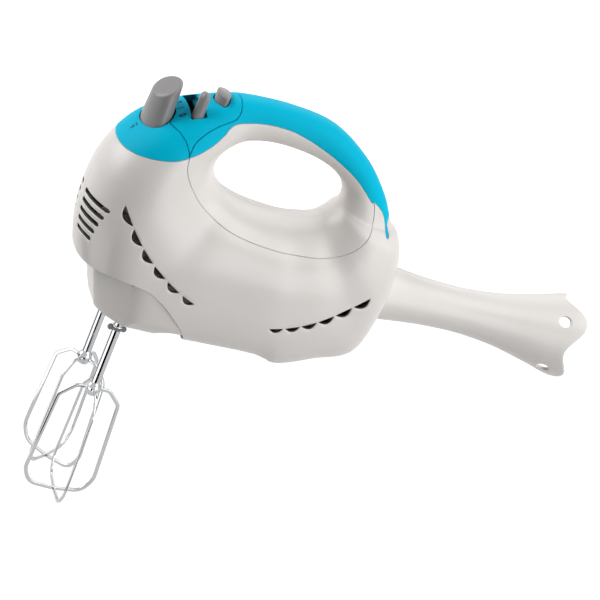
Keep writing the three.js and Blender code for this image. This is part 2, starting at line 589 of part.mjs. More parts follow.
function stator() {
  const { x, outer, bore, pole, half } = STACK;
  const ring = tube("x", outer, bore, x, [0, 0], FINE);
  const way = cylinderThrough(pole, x);
  const poles = [90, 270].map((middle) => sector(bore + 1, middle, half, x).subtract(way));
  add("stator_core", union(ring, ...poles), STEEL);
  for (const [name, middle] of [["upper", 90], ["lower", 270]]) {
    const coilX = [x[0] - 7, x[1] + 7];
    const pack = sector(bore - GAP, middle, 84, coilX).subtract(cylinderThrough(pole + 0.4, coilX));
    const window = sector(bore + 3, middle, half + 2, [x[0] - GAP, x[1] + GAP]);
    add("field_coil_" + name, pack.subtract(window), COPPER);
  }
}

function rotor() {
  const { x } = STACK;
  let core = tube("x", ARMATURE.radius, onShaft, x, [0, 0], 24);
  for (let i = 0; i < ARMATURE.slots; i++) {
    const slot = box([x[0] - 1, x[1] + 1], around(0, ARMATURE.slotHalf), ARMATURE.slot);
    core = core.subtract(slot.rotate([(360 / ARMATURE.slots) * i, 0, 0]));
  }
  add("armature_core", core, STEEL);
  add("winding_front", tube("x", WINDING_RADIUS, onShaft, [x[0] - 8, x[0] - GAP]), COPPER);
  add("winding_rear", tube("x", WINDING_RADIUS, onShaft, [x[1] + GAP, COMMUTATOR.x[0] - GAP]), COPPER);
  add("commutator", tube("x", COMMUTATOR.radius, onShaft, COMMUTATOR.x), COPPER);
  add("motor_shaft", wormShaft(), STEEL);
  add("cooling_fan", coolingFan(), NYLON);
  const { x: couplerX, radius, socket } = COUPLER, hole = around(0, socket / 2);
  const grip = box([couplerX[0] + 3, couplerX[1] + 1], hole, hole);
  add("drive_socket", cylinder("x", radius, couplerX).subtract(grip), NYLON);
}

// The shaft and its worm, whose thread advances by one tooth of the wheels in each turn.
function wormShaft() {
  const { radius, root, thread, half } = WORM;
  const span = around(0, half - thread), turns = (span[1] - span[0]) / TOOTH_PITCH;
  const core = cylinder("x", SHAFT_RADIUS, [-22, COUPLER.x[0] - GAP], [0, 0], 12);
  const body = cylinder("x", root, around(0, half), [0, 0], 12);
  return union(core, body, coil(new Helix("x", radius - thread / 2, turns, span), thread, 7));
}

function coolingFan() {
  const { x, radius, hub, blades, blade, plate } = FAN;
  const disc = tube("x", radius, onShaft, [x[0], x[0] + plate], [0, 0], 16);
  const vanes = Array.from({ length: blades }, (_, i) =>
    box([x[0] + 1, x[1]], around(0, blade / 2), [hub - 0.5, radius]).rotate([(360 / blades) * i, 0, 0]));
  return union(disc, tube("x", hub, onShaft, x), ...vanes);
}

function brackets() {
  const posts = (x) => union(...[45, 135, 225, 315].map((turn) => {
    const a = THREE.MathUtils.degToRad(turn), reach = STACK.outer - 1.5;
    return cylinder("x", 2, x, [reach * Math.cos(a), reach * Math.sin(a)], 8);
  }));
  for (const name of ["front", "rear"]) {
    const span = BRACKETS[name], bearing = around((span[0] + span[1]) / 2, BEARING.length / 2);
    const foot = name === "front" ? NECK_TOP + GAP : WIDE[0];
    const reach = name === "front" ? [span[0] + 1, STACK.x[0] - GAP] : [STACK.x[1] + GAP, span[1] - 1];
    const web = box(span, [-25, 25], [-25, 0]);
    const plate = box(span, WIDE, [foot, BRACKETS.top]).intersect(seat).add(web);
    const bore = cylinder("x", BEARING.radius + GAP, [bearing[0] - 5, bearing[1] + 5]);
    add(name + "_bracket", plate.add(posts(reach)).subtract(bore), NYLON);
    add(name + "_bearing", tube("x", BEARING.radius, SHAFT_RADIUS + RUNNING, bearing), BRONZE);
  }
}

function brushGear() {
  const middle = (COMMUTATOR.x[0] + COMMUTATOR.x[1]) / 2;
  const { along, up, clearance, holder, reach } = BRUSH;
  for (const [side, sign] of SIDES) {
    const tunnel = box(around(middle, along + clearance), mirrored([5, 40], sign), around(0, up + clearance));
    const length = [middle - holder - 0.5, BRACKETS.rear[0] - GAP];
    const block = box(length, mirrored(reach, sign), around(0, holder));
    add("brush_holder_" + side, block.subtract(tunnel), NYLON);
    const across = mirrored([COMMUTATOR.radius + GAP, reach[1] - 3], sign);
    add("carbon_brush_" + side, box(around(middle, along), across, around(0, up)), CARBON);
  }
}

// ---------------------------------------------------------------- controls

function controls() {
  const tray = box([-8, 20], WIDE, TRAY).intersect(seat);
  add("switch_tray", tray, NYLON);
  add("speed_switch", box([-6, 8], [-17, 17], [TRAY[1] + GAP, SWITCH_TOP]), RUBBER);
  add("turbo_switch", box([11, 19], [-6, 6], [TRAY[1] + GAP, SWITCH_TOP + 2]), RUBBER);
  add("speed_lever", speedLever(), GREY);
  const { x, top, crown, travel } = TURBO;
  const dome = cylinder("y", crown, [-20, 20], [x, top - crown], 40).intersect(leafColumn(TURBO, PANEL_CUT));
  const under = box([0, 40], [-20, 20], [PANEL_CUT[0], SWITCH_TOP + 2 + GAP + travel]);
  add("turbo_button", dome.subtract(under), GREY);
}

// A fin with a rounded top, on the carriage that drives the switch.
function speedLever() {
  const { x, y, thick, length, lean, foot, top } = LEVER;
  const tip = x - lean * (top - foot), half = thick / 2;
  const side = new THREE.Shape([toPoint([x - half, foot]), toPoint([x + half, foot])]);
  side.lineTo(tip + half, top - half);
  side.absarc(tip, top - half, half, 0, Math.PI, false);
  const front = new THREE.Shape([toPoint([y - length / 2, foot]), toPoint([y + length / 2, foot])]);
  front.lineTo(y + length / 2, top - length / 2);
  front.absarc(y, top - length / 2, length / 2, 0, Math.PI, false);
  const cut = crosswise(front, around(x, 2 * thick), 8);
  const fin = prism(side.getPoints(6), around(y, length)).intersect(cut);
  return fin.add(box(around(x, LEVER.carriage), around(y, length / 2), [foot, foot + LEVER.carriageHeight]));
}

// ---------------------------------------------------------------- rear outlet, cord gland

const OUTLET = { hole: 15.6, ring: 15.3, bore: 12.6, depth: 14 };
const GLAND = { x: REAR_FACE - 20, z: -43, lean: 22, radius: 5.5, bore: 3.6, inside: 9, outside: 2.5 };

function glandBore(radius, reach, from = -reach) {
  const geometry = new THREE.CylinderGeometry(radius, radius, reach - from, 16);
  geometry.translate(0, (reach + from) / 2, 0).rotateX(-Math.PI / 2);
  geometry.rotateY(THREE.MathUtils.degToRad(-GLAND.lean)).translate(GLAND.x, 0, GLAND.z);
  return toSolid(geometry);
}

function rearFittings() {
  const { ring, bore, depth } = OUTLET;
  add("outlet_ring", tube("x", ring, bore, [REAR_FACE - depth, REAR_FACE], [0, 0], FINE), WHITE);
  const gland = glandBore(GLAND.radius, GLAND.outside, -GLAND.inside);
  add("cord_gland", gland.subtract(glandBore(GLAND.bore, 12)), RUBBER);
}

// ---------------------------------------------------------------- blending rod

const BULKHEAD = [ROD_END - 45.5, ROD_END - 35.5];
const ROD = { wall: 2.2, spigot: 12.3, spigotDepth: 10, bulkhead: BULKHEAD, bore: 6.5 };
// Radius and place of the handle's end, from the rear face, and of the bell, back from its mouth.
const ROD_NECK = [[18.6, GAP], [18.2, 11], [16.7, 26], [15.5, 44], [15.2, 64]];
const ROD_BELL = [[16.3, -68.5], [18.4, -51.5], [21.6, -35.5], [25, -20.5], [28.2, -8], [29.6, 0]];
const ROD_SHAFT = { radius: 3, square: 7, tongue: 9, x: [COUPLER.x[0] + 3.5, ROD_END - 19.5] };
const LOBES = { count: 4, hole: 4, x: ROD_END - 16 };
const LOBE_GAP = [[3.5, 21], [-0.1, 19], [-1.5, 15.5], [-4.3, 11.5], [-7.9, 7.6], [-9.9, 3.6], [-10.5, 0]];
const BLADE = { x: ROD_END - 25.5, thick: 1.6, hub: 5, hubHalf: 3, tip: 19, chord: 4 };

// The space between two lobes of the bell's mouth.
function lobeGap() {
  const half = LOBE_GAP.map(([x, y]) => [ROD_END + x, y]);
  const other = half.slice(0, -1).reverse().map(([x, y]) => [x, -y]);
  return upright(new THREE.Shape([...half, ...other].map(toPoint)), [10, 50]);
}

function rodOutline() {
  const start = REAR_FACE + GAP;
  const handle = ROD_NECK.map(([r, x]) => [r, REAR_FACE + x]);
  const flare = ROD_BELL.map(([r, x]) => [r, ROD_END + x]);
  const outside = smooth([...handle, ...flare], 9).map((p) => [p.x, p.y]);
  const inside = outside.filter((_, i) => i % 2 === 1).map(([r, x]) => [r - ROD.wall, x]).reverse();
  const bell = inside.filter(([, x]) => x > ROD.bulkhead[1] + 1);
  const neck = inside.filter(([, x]) => x < ROD.bulkhead[0] - 1 && x > start + 3);
  const spigotStart = REAR_FACE - ROD.spigotDepth, spigotInside = ROD.spigot - ROD.wall;
  return [
    [ROD.spigot, spigotStart], [ROD.spigot, start], ...outside,
    [ROD_BELL.at(-1)[0] - ROD.wall, ROD_END], ...bell.filter(([, x]) => x < ROD_END - 1),
    [bell.at(-1)[0] - 1, ROD.bulkhead[1]], [ROD.bore, ROD.bulkhead[1]],
    [ROD.bore, ROD.bulkhead[0]], [neck[0][0] - 1, ROD.bulkhead[0]],
    ...neck, [spigotInside, start + 3], [spigotInside, spigotStart], [ROD.spigot, spigotStart],
  ];
}

function blendingRod() {
  let shell = revolve(rodOutline());
  for (let i = 0; i < LOBES.count; i++) {
    const turn = (360 / LOBES.count) * i;
    const hole = cylinder("z", LOBES.hole, [15, 45], [LOBES.x, 0]).rotate([turn + 180 / LOBES.count, 0, 0]);
    shell = shell.subtract(lobeGap().rotate([turn, 0, 0])).subtract(hole);
  }
  add("rod_shell", shell, WHITE);
  add("rod_bush", tube("x", ROD.bore - GAP, ROD_SHAFT.radius + RUNNING, ROD.bulkhead), BRONZE);
  const { radius, square, tongue, x } = ROD_SHAFT;
  const end = box([x[0], x[0] + tongue], around(0, square / 2), around(0, square / 2));
  add("rod_drive_shaft", cylinder("x", radius, [x[0] + 4, x[1]], [0, 0], 16).add(end), STEEL);
  add("blade", blade(), STEEL);
}

// Two wings with curved edges, one the other turned half round, on a hub.
function blade() {
  const { x, thick, hub, hubHalf, tip, chord } = BLADE;
  const wings = new THREE.Shape();
  wings.moveTo(-chord, -chord);
  for (const sign of [1, -1]) {
    wings.quadraticCurveTo(sign * 10, sign * -7, sign * tip, sign * -2);
    wings.quadraticCurveTo(sign * 12, sign * chord, sign * chord, sign * chord);
  }
  const sheet = crosswise(wings, [x, x + thick], 5);
  const bore = cylinder("x", ROD_SHAFT.radius + GAP, [x - 6, x + 14], [0, 0], 16);
  return sheet.add(cylinder("x", hub, around(x + 1, hubHalf))).subtract(bore);
}

// ---------------------------------------------------------------- beaters

const BEATER = { shaft: 2.8, hub: 4.6, hubHalf: 4, strip: 1.2, width: 2.4, drop: 0.4 };
const MARKER = { z: NECK_FACE - 8.4, ear: 2, reach: 5.2, ring: 4.4, half: 1.5, earHalf: 1 };
// One side of a wire loop, from the hub to the foot: distance from the axis, height above the foot,
// the bend's size.
const CAGE = [[2, 82.8, 0], [9.6, 82.4, 4], [18.4, 72.5, 5], [22.8, 16, 6], [15.5, 3.4, 9], [0, 0, 0]];
const HUB_HEIGHT = BEATER_FOOT + CAGE[0][1];

// A bent strip's line, its corners rounded by short curves.
function bentLine(corners) {
  return corners.flatMap(([x, y, radius], i) => {
    const here = new THREE.Vector2(x, y);
    if (!radius) return [here];
    const [before, after] = [corners[i - 1], corners[i + 1]].map(([u, v]) => {
      const leg = new THREE.Vector2(u, v).sub(here);
      return leg.setLength(Math.min(radius, leg.length() / 2)).add(here);
    });
    return new THREE.QuadraticBezierCurve(before, here, after).getPoints(radius > 5 ? 2 : 1);
  });
}

function beater(side, sign, phase) {
  const half = bentLine(CAGE), { shaft, hub, hubHalf, strip, width, drop } = BEATER;
  const loopLine = [...half, ...half.slice(0, -1).reverse().map((p) => new THREE.Vector2(-p.x, p.y))];
  const loop = ribbon(loopLine, strip, around(0, width / 2)).translate([0, 0, BEATER_FOOT]);
  const solid = union(
    cylinder("z", shaft, [HUB_HEIGHT - 2, BEATER_TOP]),
    cylinder("z", hub, around(HUB_HEIGHT, hubHalf), [0, 0], 12),
    loop.rotate([0, 0, phase]),
    loop.rotate([0, 0, phase + 90]).translate([0, 0, -drop]),
  );
  add("beater_" + side, solid.translate([...beaterAxis(sign), 0]), CHROME);
}

// The left beater's marker ring, with an ear in front and one behind.
function beaterMarker() {
  const { z, ear, reach, ring, half, earHalf } = MARKER, at = beaterAxis(-1);
  const ears = [-1, 1].map((end) => cylinder("y", ear, around(at[1], earHalf), [end * reach, z], 12));
  const bore = cylinder("z", BEATER.shaft + RUNNING / 2, around(z, 2 * half), at);
  add("left_beater_collar", union(cylinder("z", ring, around(z, half), at), ...ears).subtract(bore), GREY);
}

mouldedBody();
gearNeck();
gearbox();
ejector();
stator();
rotor();
brackets();
brushGear();
controls();
rearFittings();
blendingRod();
beater("left", -1, 0);
beater("right", 1, 45);
beaterMarker();

const part = new THREE.Group();
part.add(mixer);
export default part;
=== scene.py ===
"""Looks of a hand mixer with its blending rod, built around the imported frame.

Sizes are in millimetres in the motor's own frame: +Z up, +X to the rear, -Y the user's left, and
height 0 at the motor's axis. They turn into metres in the row frame when a piece is finished.
"""

import json
import logging
import math
from collections.abc import Callable, Sequence
from dataclasses import dataclass, field
from enum import Enum
from functools import partial
from typing import Any

import bmesh
import bpy
import numpy as np
from mathutils import Matrix, Vector
from mathutils.bvhtree import BVHTree


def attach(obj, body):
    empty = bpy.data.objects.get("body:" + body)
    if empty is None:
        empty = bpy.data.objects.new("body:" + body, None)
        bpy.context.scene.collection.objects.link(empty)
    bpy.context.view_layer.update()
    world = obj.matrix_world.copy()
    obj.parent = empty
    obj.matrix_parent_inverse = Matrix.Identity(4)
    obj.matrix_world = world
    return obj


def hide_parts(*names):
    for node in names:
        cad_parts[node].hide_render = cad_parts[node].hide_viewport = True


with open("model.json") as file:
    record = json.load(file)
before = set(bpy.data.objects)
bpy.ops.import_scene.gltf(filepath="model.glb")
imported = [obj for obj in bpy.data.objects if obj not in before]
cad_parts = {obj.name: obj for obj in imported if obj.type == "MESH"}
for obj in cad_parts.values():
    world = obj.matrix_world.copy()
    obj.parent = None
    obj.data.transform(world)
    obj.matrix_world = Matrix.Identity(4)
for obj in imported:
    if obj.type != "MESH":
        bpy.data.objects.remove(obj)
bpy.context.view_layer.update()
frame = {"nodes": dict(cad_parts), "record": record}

log = logging.getLogger("mixer")

Surface = Callable[[np.ndarray], tuple[np.ndarray, np.ndarray]]
Rule = Callable[[np.ndarray], np.ndarray]

# The motor's axis above the neck's face, where the row frame has its origin.
MOTOR_HEIGHT = 50.0
MM = 0.001
# The shells' wall, and the play between parts that fit into each other.
WALL = 2.4
GAP = 0.3
# Edges that turn by more than this stay crisp.
SHARP = math.radians(38)
# Where rays start beside and above the mixer, and half the width of a block that holds it.
RAY_START = 90.0
RAY_TOP = 150.0
HALF_SPACE = 80.0
# Between the axes of the two beaters.
SOCKET_SPACING = 38.0
# How near a line the skin is searched for it, and the steps and the least length of what is found.
TRACE_REACH = 12.0
GROOVE_STEP = 0.9
FEWEST_POINTS = 6
# Turns what lies along X upright.
UPRIGHT = Matrix.Rotation(math.radians(-90), 4, "Y")


class Side(Enum):
    """The two halves of the mixer, by the sign of Y."""

    LEFT = -1
    RIGHT = 1


class Cut(Enum):
    """How one solid changes another."""

    AWAY = "DIFFERENCE"
    SHARED = "INTERSECT"
    JOINED = "UNION"


# ------------------------ helpers


def placed(name: str, data: bpy.types.ID) -> bpy.types.Object:
    """A new object in the scene.

    Args:
        name: Its name.
        data: Its mesh, curve, camera or lamp.

    Returns:
        The object.
    """
    made = bpy.data.objects.new(name, data)
    bpy.context.scene.collection.objects.link(made)
    return made


def evaluated(item: bpy.types.Object) -> bpy.types.Mesh:
    """The mesh that an object comes to with its modifiers."""
    bpy.context.view_layer.update()
    return bpy.data.meshes.new_from_object(item.evaluated_get(bpy.context.evaluated_depsgraph_get()))


def cleared(owner: Any) -> bpy.types.NodeTree:
    """Empties the node tree of a new material or world.

    Args:
        owner: The material or world.

    Returns:
        The tree.
    """
    owner.use_nodes = True
    owner.node_tree.nodes.clear()
    return owner.node_tree


# ------------------------ solids


class Solid:
    """A closed mesh in millimetres that is cut, joined and split before it becomes a piece."""

    def __init__(self, mesh: bpy.types.Mesh) -> None:
        """Wraps a mesh datablock."""
        self.mesh = mesh

    @classmethod
    def of(cls, vertices: Any, faces: Sequence[Sequence[int]]) -> "Solid":
        """Makes a solid from vertices and faces.

        Args:
            vertices: Points, one row each.
            faces: Vertex numbers of each face, seen anticlockwise from outside.

        Returns:
            The solid.
        """
        mesh = bpy.data.meshes.new("solid")
        mesh.from_pydata(np.asarray(vertices, float).tolist(), [], [tuple(map(int, f)) for f in faces])
        mesh.update()
        return cls(mesh)

    def changed(self, how: Cut, others: Sequence["Solid"]) -> "Solid":
        """Applies other solids to this one, one after another.

        Args:
            how: Whether they are cut away, kept where shared, or joined.
            others: The tools.

        Returns:
            The solid that comes out.
        """
        mesh = self.mesh
        for other in others:
            base, tool = placed("base", mesh), placed("tool", other.mesh)
            step = base.modifiers.new("cut", "BOOLEAN")
            step.operation, step.solver, step.object = how.value, "MANIFOLD", tool
            mesh = evaluated(base)
            for item in (base, tool):
                bpy.data.objects.remove(item)
        return Solid(mesh)

    def minus(self, *others: "Solid") -> "Solid":
        """This solid with the others cut away."""
        return self.changed(Cut.AWAY, others)

    def within(self, *others: "Solid") -> "Solid":
        """What this solid shares with all the others."""
        return self.changed(Cut.SHARED, others)

    def plus(self, *others: "Solid") -> "Solid":
        """This solid joined with the others."""
        return self.changed(Cut.JOINED, others)

    def points(self) -> np.ndarray:
        """The vertices.

        Returns:
            One row for each.
        """
        flat = np.zeros(len(self.mesh.vertices) * 3)
        self.mesh.vertices.foreach_get("co", flat)
        return flat.reshape(-1, 3)

    def faces(self) -> list[tuple[int, ...]]:
        """The vertex numbers of each face."""
        return [tuple(p.vertices) for p in self.mesh.polygons]

    def parts(self) -> list["Solid"]:
        """The separate bodies that this solid consists of.

        Returns:
            One solid for each.
        """
        count = len(self.mesh.vertices)
        ends = np.zeros(len(self.mesh.edges) * 2, int)
        self.mesh.edges.foreach_get("vertices", ends)
        ends = ends.reshape(-1, 2)
        label = np.arange(count)
        while True:
            low = np.minimum(label[ends[:, 0]], label[ends[:, 1]])
            new = label.copy()
            np.minimum.at(new, ends[:, 0], low)
            np.minimum.at(new, ends[:, 1], low)
            new = new[new]
            if (new == label).all():
                break
            label = new
        points, groups = self.points(), {}
        for face in self.faces():
            groups.setdefault(label[face[0]], []).append(face)
        made = []
        for group in groups.values():
            used = np.unique(np.concatenate([np.array(f) for f in group]))
            place = {int(v): i for i, v in enumerate(used)}
            made.append(Solid.of(points[used], [[place[v] for v in f] for f in group]))
        return made

    def size(self) -> int:
        """How many vertices it has."""
        return len(self.mesh.vertices)

    def box(self) -> tuple[np.ndarray, np.ndarray]:
        """Lowest and highest corner."""
        points = self.points()
        return points.min(0), points.max(0)

    def turned(self, matrix: Matrix) -> "Solid":
        """A copy under a transform.

        Args:
            matrix: The transform, which may mirror.

        Returns:
            The copy.
        """
        mesh = self.mesh.copy()
        mesh.transform(matrix)
        if matrix.determinant() < 0:
            mesh.flip_normals()
        return Solid(mesh)


def block(x: Sequence[float], y: Sequence[float], z: Sequence[float]) -> Solid:
    """A box.

    Args:
        x: Its limits along X.
        y: Its limits along Y.
        z: Its limits along Z.

    Returns:
        The solid.
    """
    corners = [(x[i], y[j], z[k]) for i in (0, 1) for j in (0, 1) for k in (0, 1)]
    faces = [(0, 1, 3, 2), (4, 6, 7, 5), (0, 4, 5, 1), (2, 3, 7, 6), (0, 2, 6, 4), (1, 5, 7, 3)]
    return Solid.of(corners, faces)


def stack(rings: Sequence[np.ndarray], closed: bool = False) -> Solid:
    """Rings of equal length joined into a closed skin.

    Args:
        rings: Loops of points, in order, each turning anticlockwise seen from the last one.
        closed: Whether the last ring joins the first. Otherwise each end is capped.

    Returns:
        The solid.
    """
    size, count = len(rings[0]), len(rings)
    faces = []
    for i in range(count if closed else count - 1):
        here, there = i * size, ((i + 1) % count) * size
        for j in range(size):
            k = (j + 1) % size
            faces.append((here + j, here + k, there + k, there + j))
    if not closed:
        faces.append(tuple(range(size))[::-1])
        faces.append(tuple(range((count - 1) * size, count * size)))
    return Solid.of(np.concatenate(rings), faces)


def smooth_line(points: Sequence[Sequence[float]], per: int = 8) -> np.ndarray:
    """A smooth curve through points of any dimension.

    Args:
        points: The points it passes through.
        per: Steps between two of them.

    Returns:
        The points of the curve.
    """
    known = np.asarray(points, float)
    last = len(known) - 1
    made = []
    for i in range(last):
        a, b, c, d = (known[min(max(k, 0), last)] for k in (i - 1, i, i + 1, i + 2))
        for t in np.arange(per) / per:
            made.append(spline(a, b, c, d, t))
    return np.array([*made, known[-1]])


def spline(a: Any, b: Any, c: Any, d: Any, t: Any) -> Any:
    """The value a share t of the way from b to c, with a before them and d after."""
    return 0.5 * (2 * b + (c - a) * t + (2 * a - 5 * b + 4 * c - d) * t * t + (3 * b - a - 3 * c + d) * t**3)


def prism(outline: Any, y: Sequence[float] = (-70.0, 70.0)) -> Solid:
    """A side-view outline made solid across the width.

    Args:
        outline: Its points, x and z.
        y: Where it starts and ends.

    Returns:
        The solid.
    """
    line = np.asarray(outline, float)
    turning = np.sum(line[:, 0] * np.roll(line[:, 1], -1) - np.roll(line[:, 0], -1) * line[:, 1])
    if turning > 0:
        line = line[::-1]
    return stack([np.column_stack([line[:, 0], np.full(len(line), v), line[:, 1]]) for v in y])


def slit(line: np.ndarray, width: float = GAP) -> Solid:
    """A thin wall along a side-view line.

    Args:
        line: Its points, x and z.
        width: How thick it is.

    Returns:
        The tool that cuts a seam.
    """
    along = np.gradient(line, axis=0)
    along /= np.linalg.norm(along, axis=1)[:, None]
    side = np.column_stack([-along[:, 1], along[:, 0]]) * width / 2
    return prism(np.concatenate([line + side, (line - side)[::-1]]))


# ------------------------ the moulded form


@dataclass(frozen=True)
class Station:
    """One section of the loft: its direction from the opening, outer point, half width and shape."""

    angle: float
    x: float
    z: float
    half: float
    waist: float
    inner: float
    outer: float


@dataclass
class MouldedForm:
    """The outer skin, lofted round the hand opening."""

    centre: tuple[float, float] = (69.5, 58.2)
    length: float = 89.0
    height: float = 45.5
    squareness: float = 2.25
    tilt: float = -5.0
    rear_face: float = 161.0
    underside: float = -53.0
    stations: tuple[Station, ...] = (
        Station(2, 151, 51, 19, 0.5, 2.2, 2.3),
        Station(20, 139, 68, 15.5, 0.5, 2.2, 2.3),
        Station(42, 119.5, 86.5, 14.5, 0.5, 2.2, 2.3),
        Station(68, 92, 101.5, 14.5, 0.5, 2.2, 2.3),
        Station(95, 62, 105.5, 14.5, 0.5, 2.2, 2.3),
        Station(130, 30, 103.6, 15.5, 0.5, 2.2, 2.4),
        Station(150, 12, 97.2, 20, 0.5, 2.1, 2.7),
        Station(165, -10, 85.6, 27, 0.52, 1.9, 2.6),
        Station(175, -31, 68.5, 33, 0.55, 1.8, 2.3),
        Station(185, -43.5, 43, 37, 0.55, 1.8, 2.2),
        Station(194, -46, 16, 39, 0.55, 1.8, 2.2),
        Station(203, -42.5, -8, 40, 0.55, 1.9, 2.3),
        Station(213, -32, -35, 40, 0.52, 2.0, 2.8),
        Station(224, -18, -53.5, 40, 0.5, 2.1, 3.7),
        Station(240, 10, -55, 41, 0.47, 2.2, 4.2),
        Station(256, 50, -54, 41, 0.45, 2.2, 4.2),
        Station(275, 88, -54, 41, 0.43, 2.2, 4.0),
        Station(290, 106, -57.5, 40, 0.42, 2.2, 4.0),
        Station(305, 130, -49, 38.5, 0.42, 2.2, 4.0),
        Station(320, 156, -37, 36, 0.45, 2.2, 4.0),
        Station(336, 162.5, 0, 35, 0.5, 2.2, 4.0),
        Station(349, 162.5, 30, 31, 0.5, 2.2, 3.0),
        Station(355, 158, 45, 24, 0.5, 2.2, 2.4),
    )
    per_station: int = 12
    girth: int = 144
    rear_flat_below: float = 46.0
    rear_ease: float = 1.2
    floor_flat_behind: float = 20.0
    floor_ease: float = 0.8
    foot_start: float = 97.0
    foot_length: float = 9.0
    foot_drop: float = 7.0

    def sections(self, per: int) -> dict[str, np.ndarray]:
        """Every value of the sections, eased between the stations.

        Args:
            per: Rings for each station.

        Returns:
            An array for each value.
        """
        count = len(self.stations)
        place = np.arange(count * per) / per
        first, t = np.floor(place).astype(int), place % 1
        made = {}
        for key in ("angle", "x", "z", "half", "waist", "inner", "outer"):
            known = np.array([getattr(s, key) for s in self.stations], float)
            turn = 360.0 if key == "angle" else 0.0
            at = [known[(first + k) % count] + turn * ((first + k) // count) for k in (-1, 0, 1, 2)]
            made[key] = spline(*at, t)
        return made

    def opening(self, angle: np.ndarray) -> tuple[np.ndarray, np.ndarray]:
        """The hand opening's edge.

        Args:
            angle: Directions from its centre, in degrees.

        Returns:
            The x and the z of the edge.
        """
        turn, tilt = np.radians(angle), math.radians(self.tilt)
        power = 2 / self.squareness
        along = self.length / 2 * np.sign(np.cos(turn)) * np.abs(np.cos(turn)) ** power
        up = self.height / 2 * np.sign(np.sin(turn)) * np.abs(np.sin(turn)) ** power
        x = self.centre[0] + along * math.cos(tilt) - up * math.sin(tilt)
        return x, self.centre[1] + along * math.sin(tilt) + up * math.cos(tilt)

    def grid(self, inset: float = 0.0, per: int | None = None, girth: int | None = None) -> np.ndarray:
        """The skin's points.

        Args:
            inset: How far inside the outer skin it lies.
            per: Rings for each station.
            girth: Points round each ring.

        Returns:
            An array of rings, points and coordinates.
        """
        per, girth = per or self.per_station, girth or self.girth
        s = self.sections(per)
        x, z = self.opening(s["angle"])
        turn = (np.arange(girth) + 0.5) / girth * 2 * np.pi - np.pi
        lean, rise = np.cos(turn)[None, :], np.sin(turn)[None, :]
        power = np.where(lean > 0, s["inner"][:, None], s["outer"][:, None])
        reach = (np.abs(lean) ** power + np.abs(rise) ** power) ** (-1 / power)
        lean, rise = lean * reach, rise * reach
        waist = s["waist"][:, None]
        depth = np.where(lean > 0, waist * (1 - lean), waist - (1 - waist) * lean)
        points = np.stack(
            [
                x[:, None] + (s["x"] - x)[:, None] * depth,
                s["half"][:, None] * rise,
                z[:, None] + (s["z"] - z)[:, None] * depth,
            ],
            axis=-1,
        )
        if inset:
            points = points - inset * self.normals(points)
        return self.flattened(points, inset)

    def normals(self, points: np.ndarray) -> np.ndarray:
        """Outward normals of a grid.

        Args:
            points: Its rings, points and coordinates.

        Returns:
            An array of the same shape.
        """
        ring = np.roll(points, -1, 0) - np.roll(points, 1, 0)
        over = np.roll(points, -1, 1) - np.roll(points, 1, 1)
        out = np.cross(ring, over)
        return out / np.linalg.norm(out, axis=-1)[..., None]

    def flattened(self, points: np.ndarray, inset: float) -> np.ndarray:
        """The grid with its rear and its underside eased onto their flats.

        Args:
            points: The grid.
            inset: How far inside the outer skin it lies.

        Returns:
            The eased grid.
        """
        made = points.copy()
        low = made[..., 2] < self.rear_flat_below
        rear = eased_limit(made[..., 0], self.rear_face - inset, self.rear_ease)
        made[..., 0] = np.where(low, rear, made[..., 0])
        foot = np.clip((made[..., 0] - self.foot_start) / self.foot_length, 0, 1)
        floor = self.underside + inset - self.foot_drop * foot * foot * (3 - 2 * foot)
        behind = made[..., 0] > self.floor_flat_behind
        lowest = -eased_limit(-made[..., 2], -floor, self.floor_ease)
        made[..., 2] = np.where(behind, lowest, made[..., 2])
        return made

    def skin(self, inset: float = 0.0, per: int | None = None, girth: int | None = None) -> Solid:
        """The skin as a closed ring-shaped solid."""
        return stack(list(self.grid(inset, per, girth)[:, ::-1]), closed=True)

    def core(self, inset: float) -> Solid:
        """The skin again, smaller and coarser, for what stays out of sight."""
        return self.skin(inset, per=8, girth=80)


def eased_limit(value: np.ndarray, limit: Any, ease: float) -> np.ndarray:
    """Values that close in on a limit and never pass it.

    Args:
        value: The values.
        limit: The limit.
        ease: How far before it they start to slow.

    Returns:
        The eased values.
    """
    start = limit - ease
    over = np.maximum(value - start, 0)
    return np.where(value > start, limit - ease * np.exp(-over / ease), value)


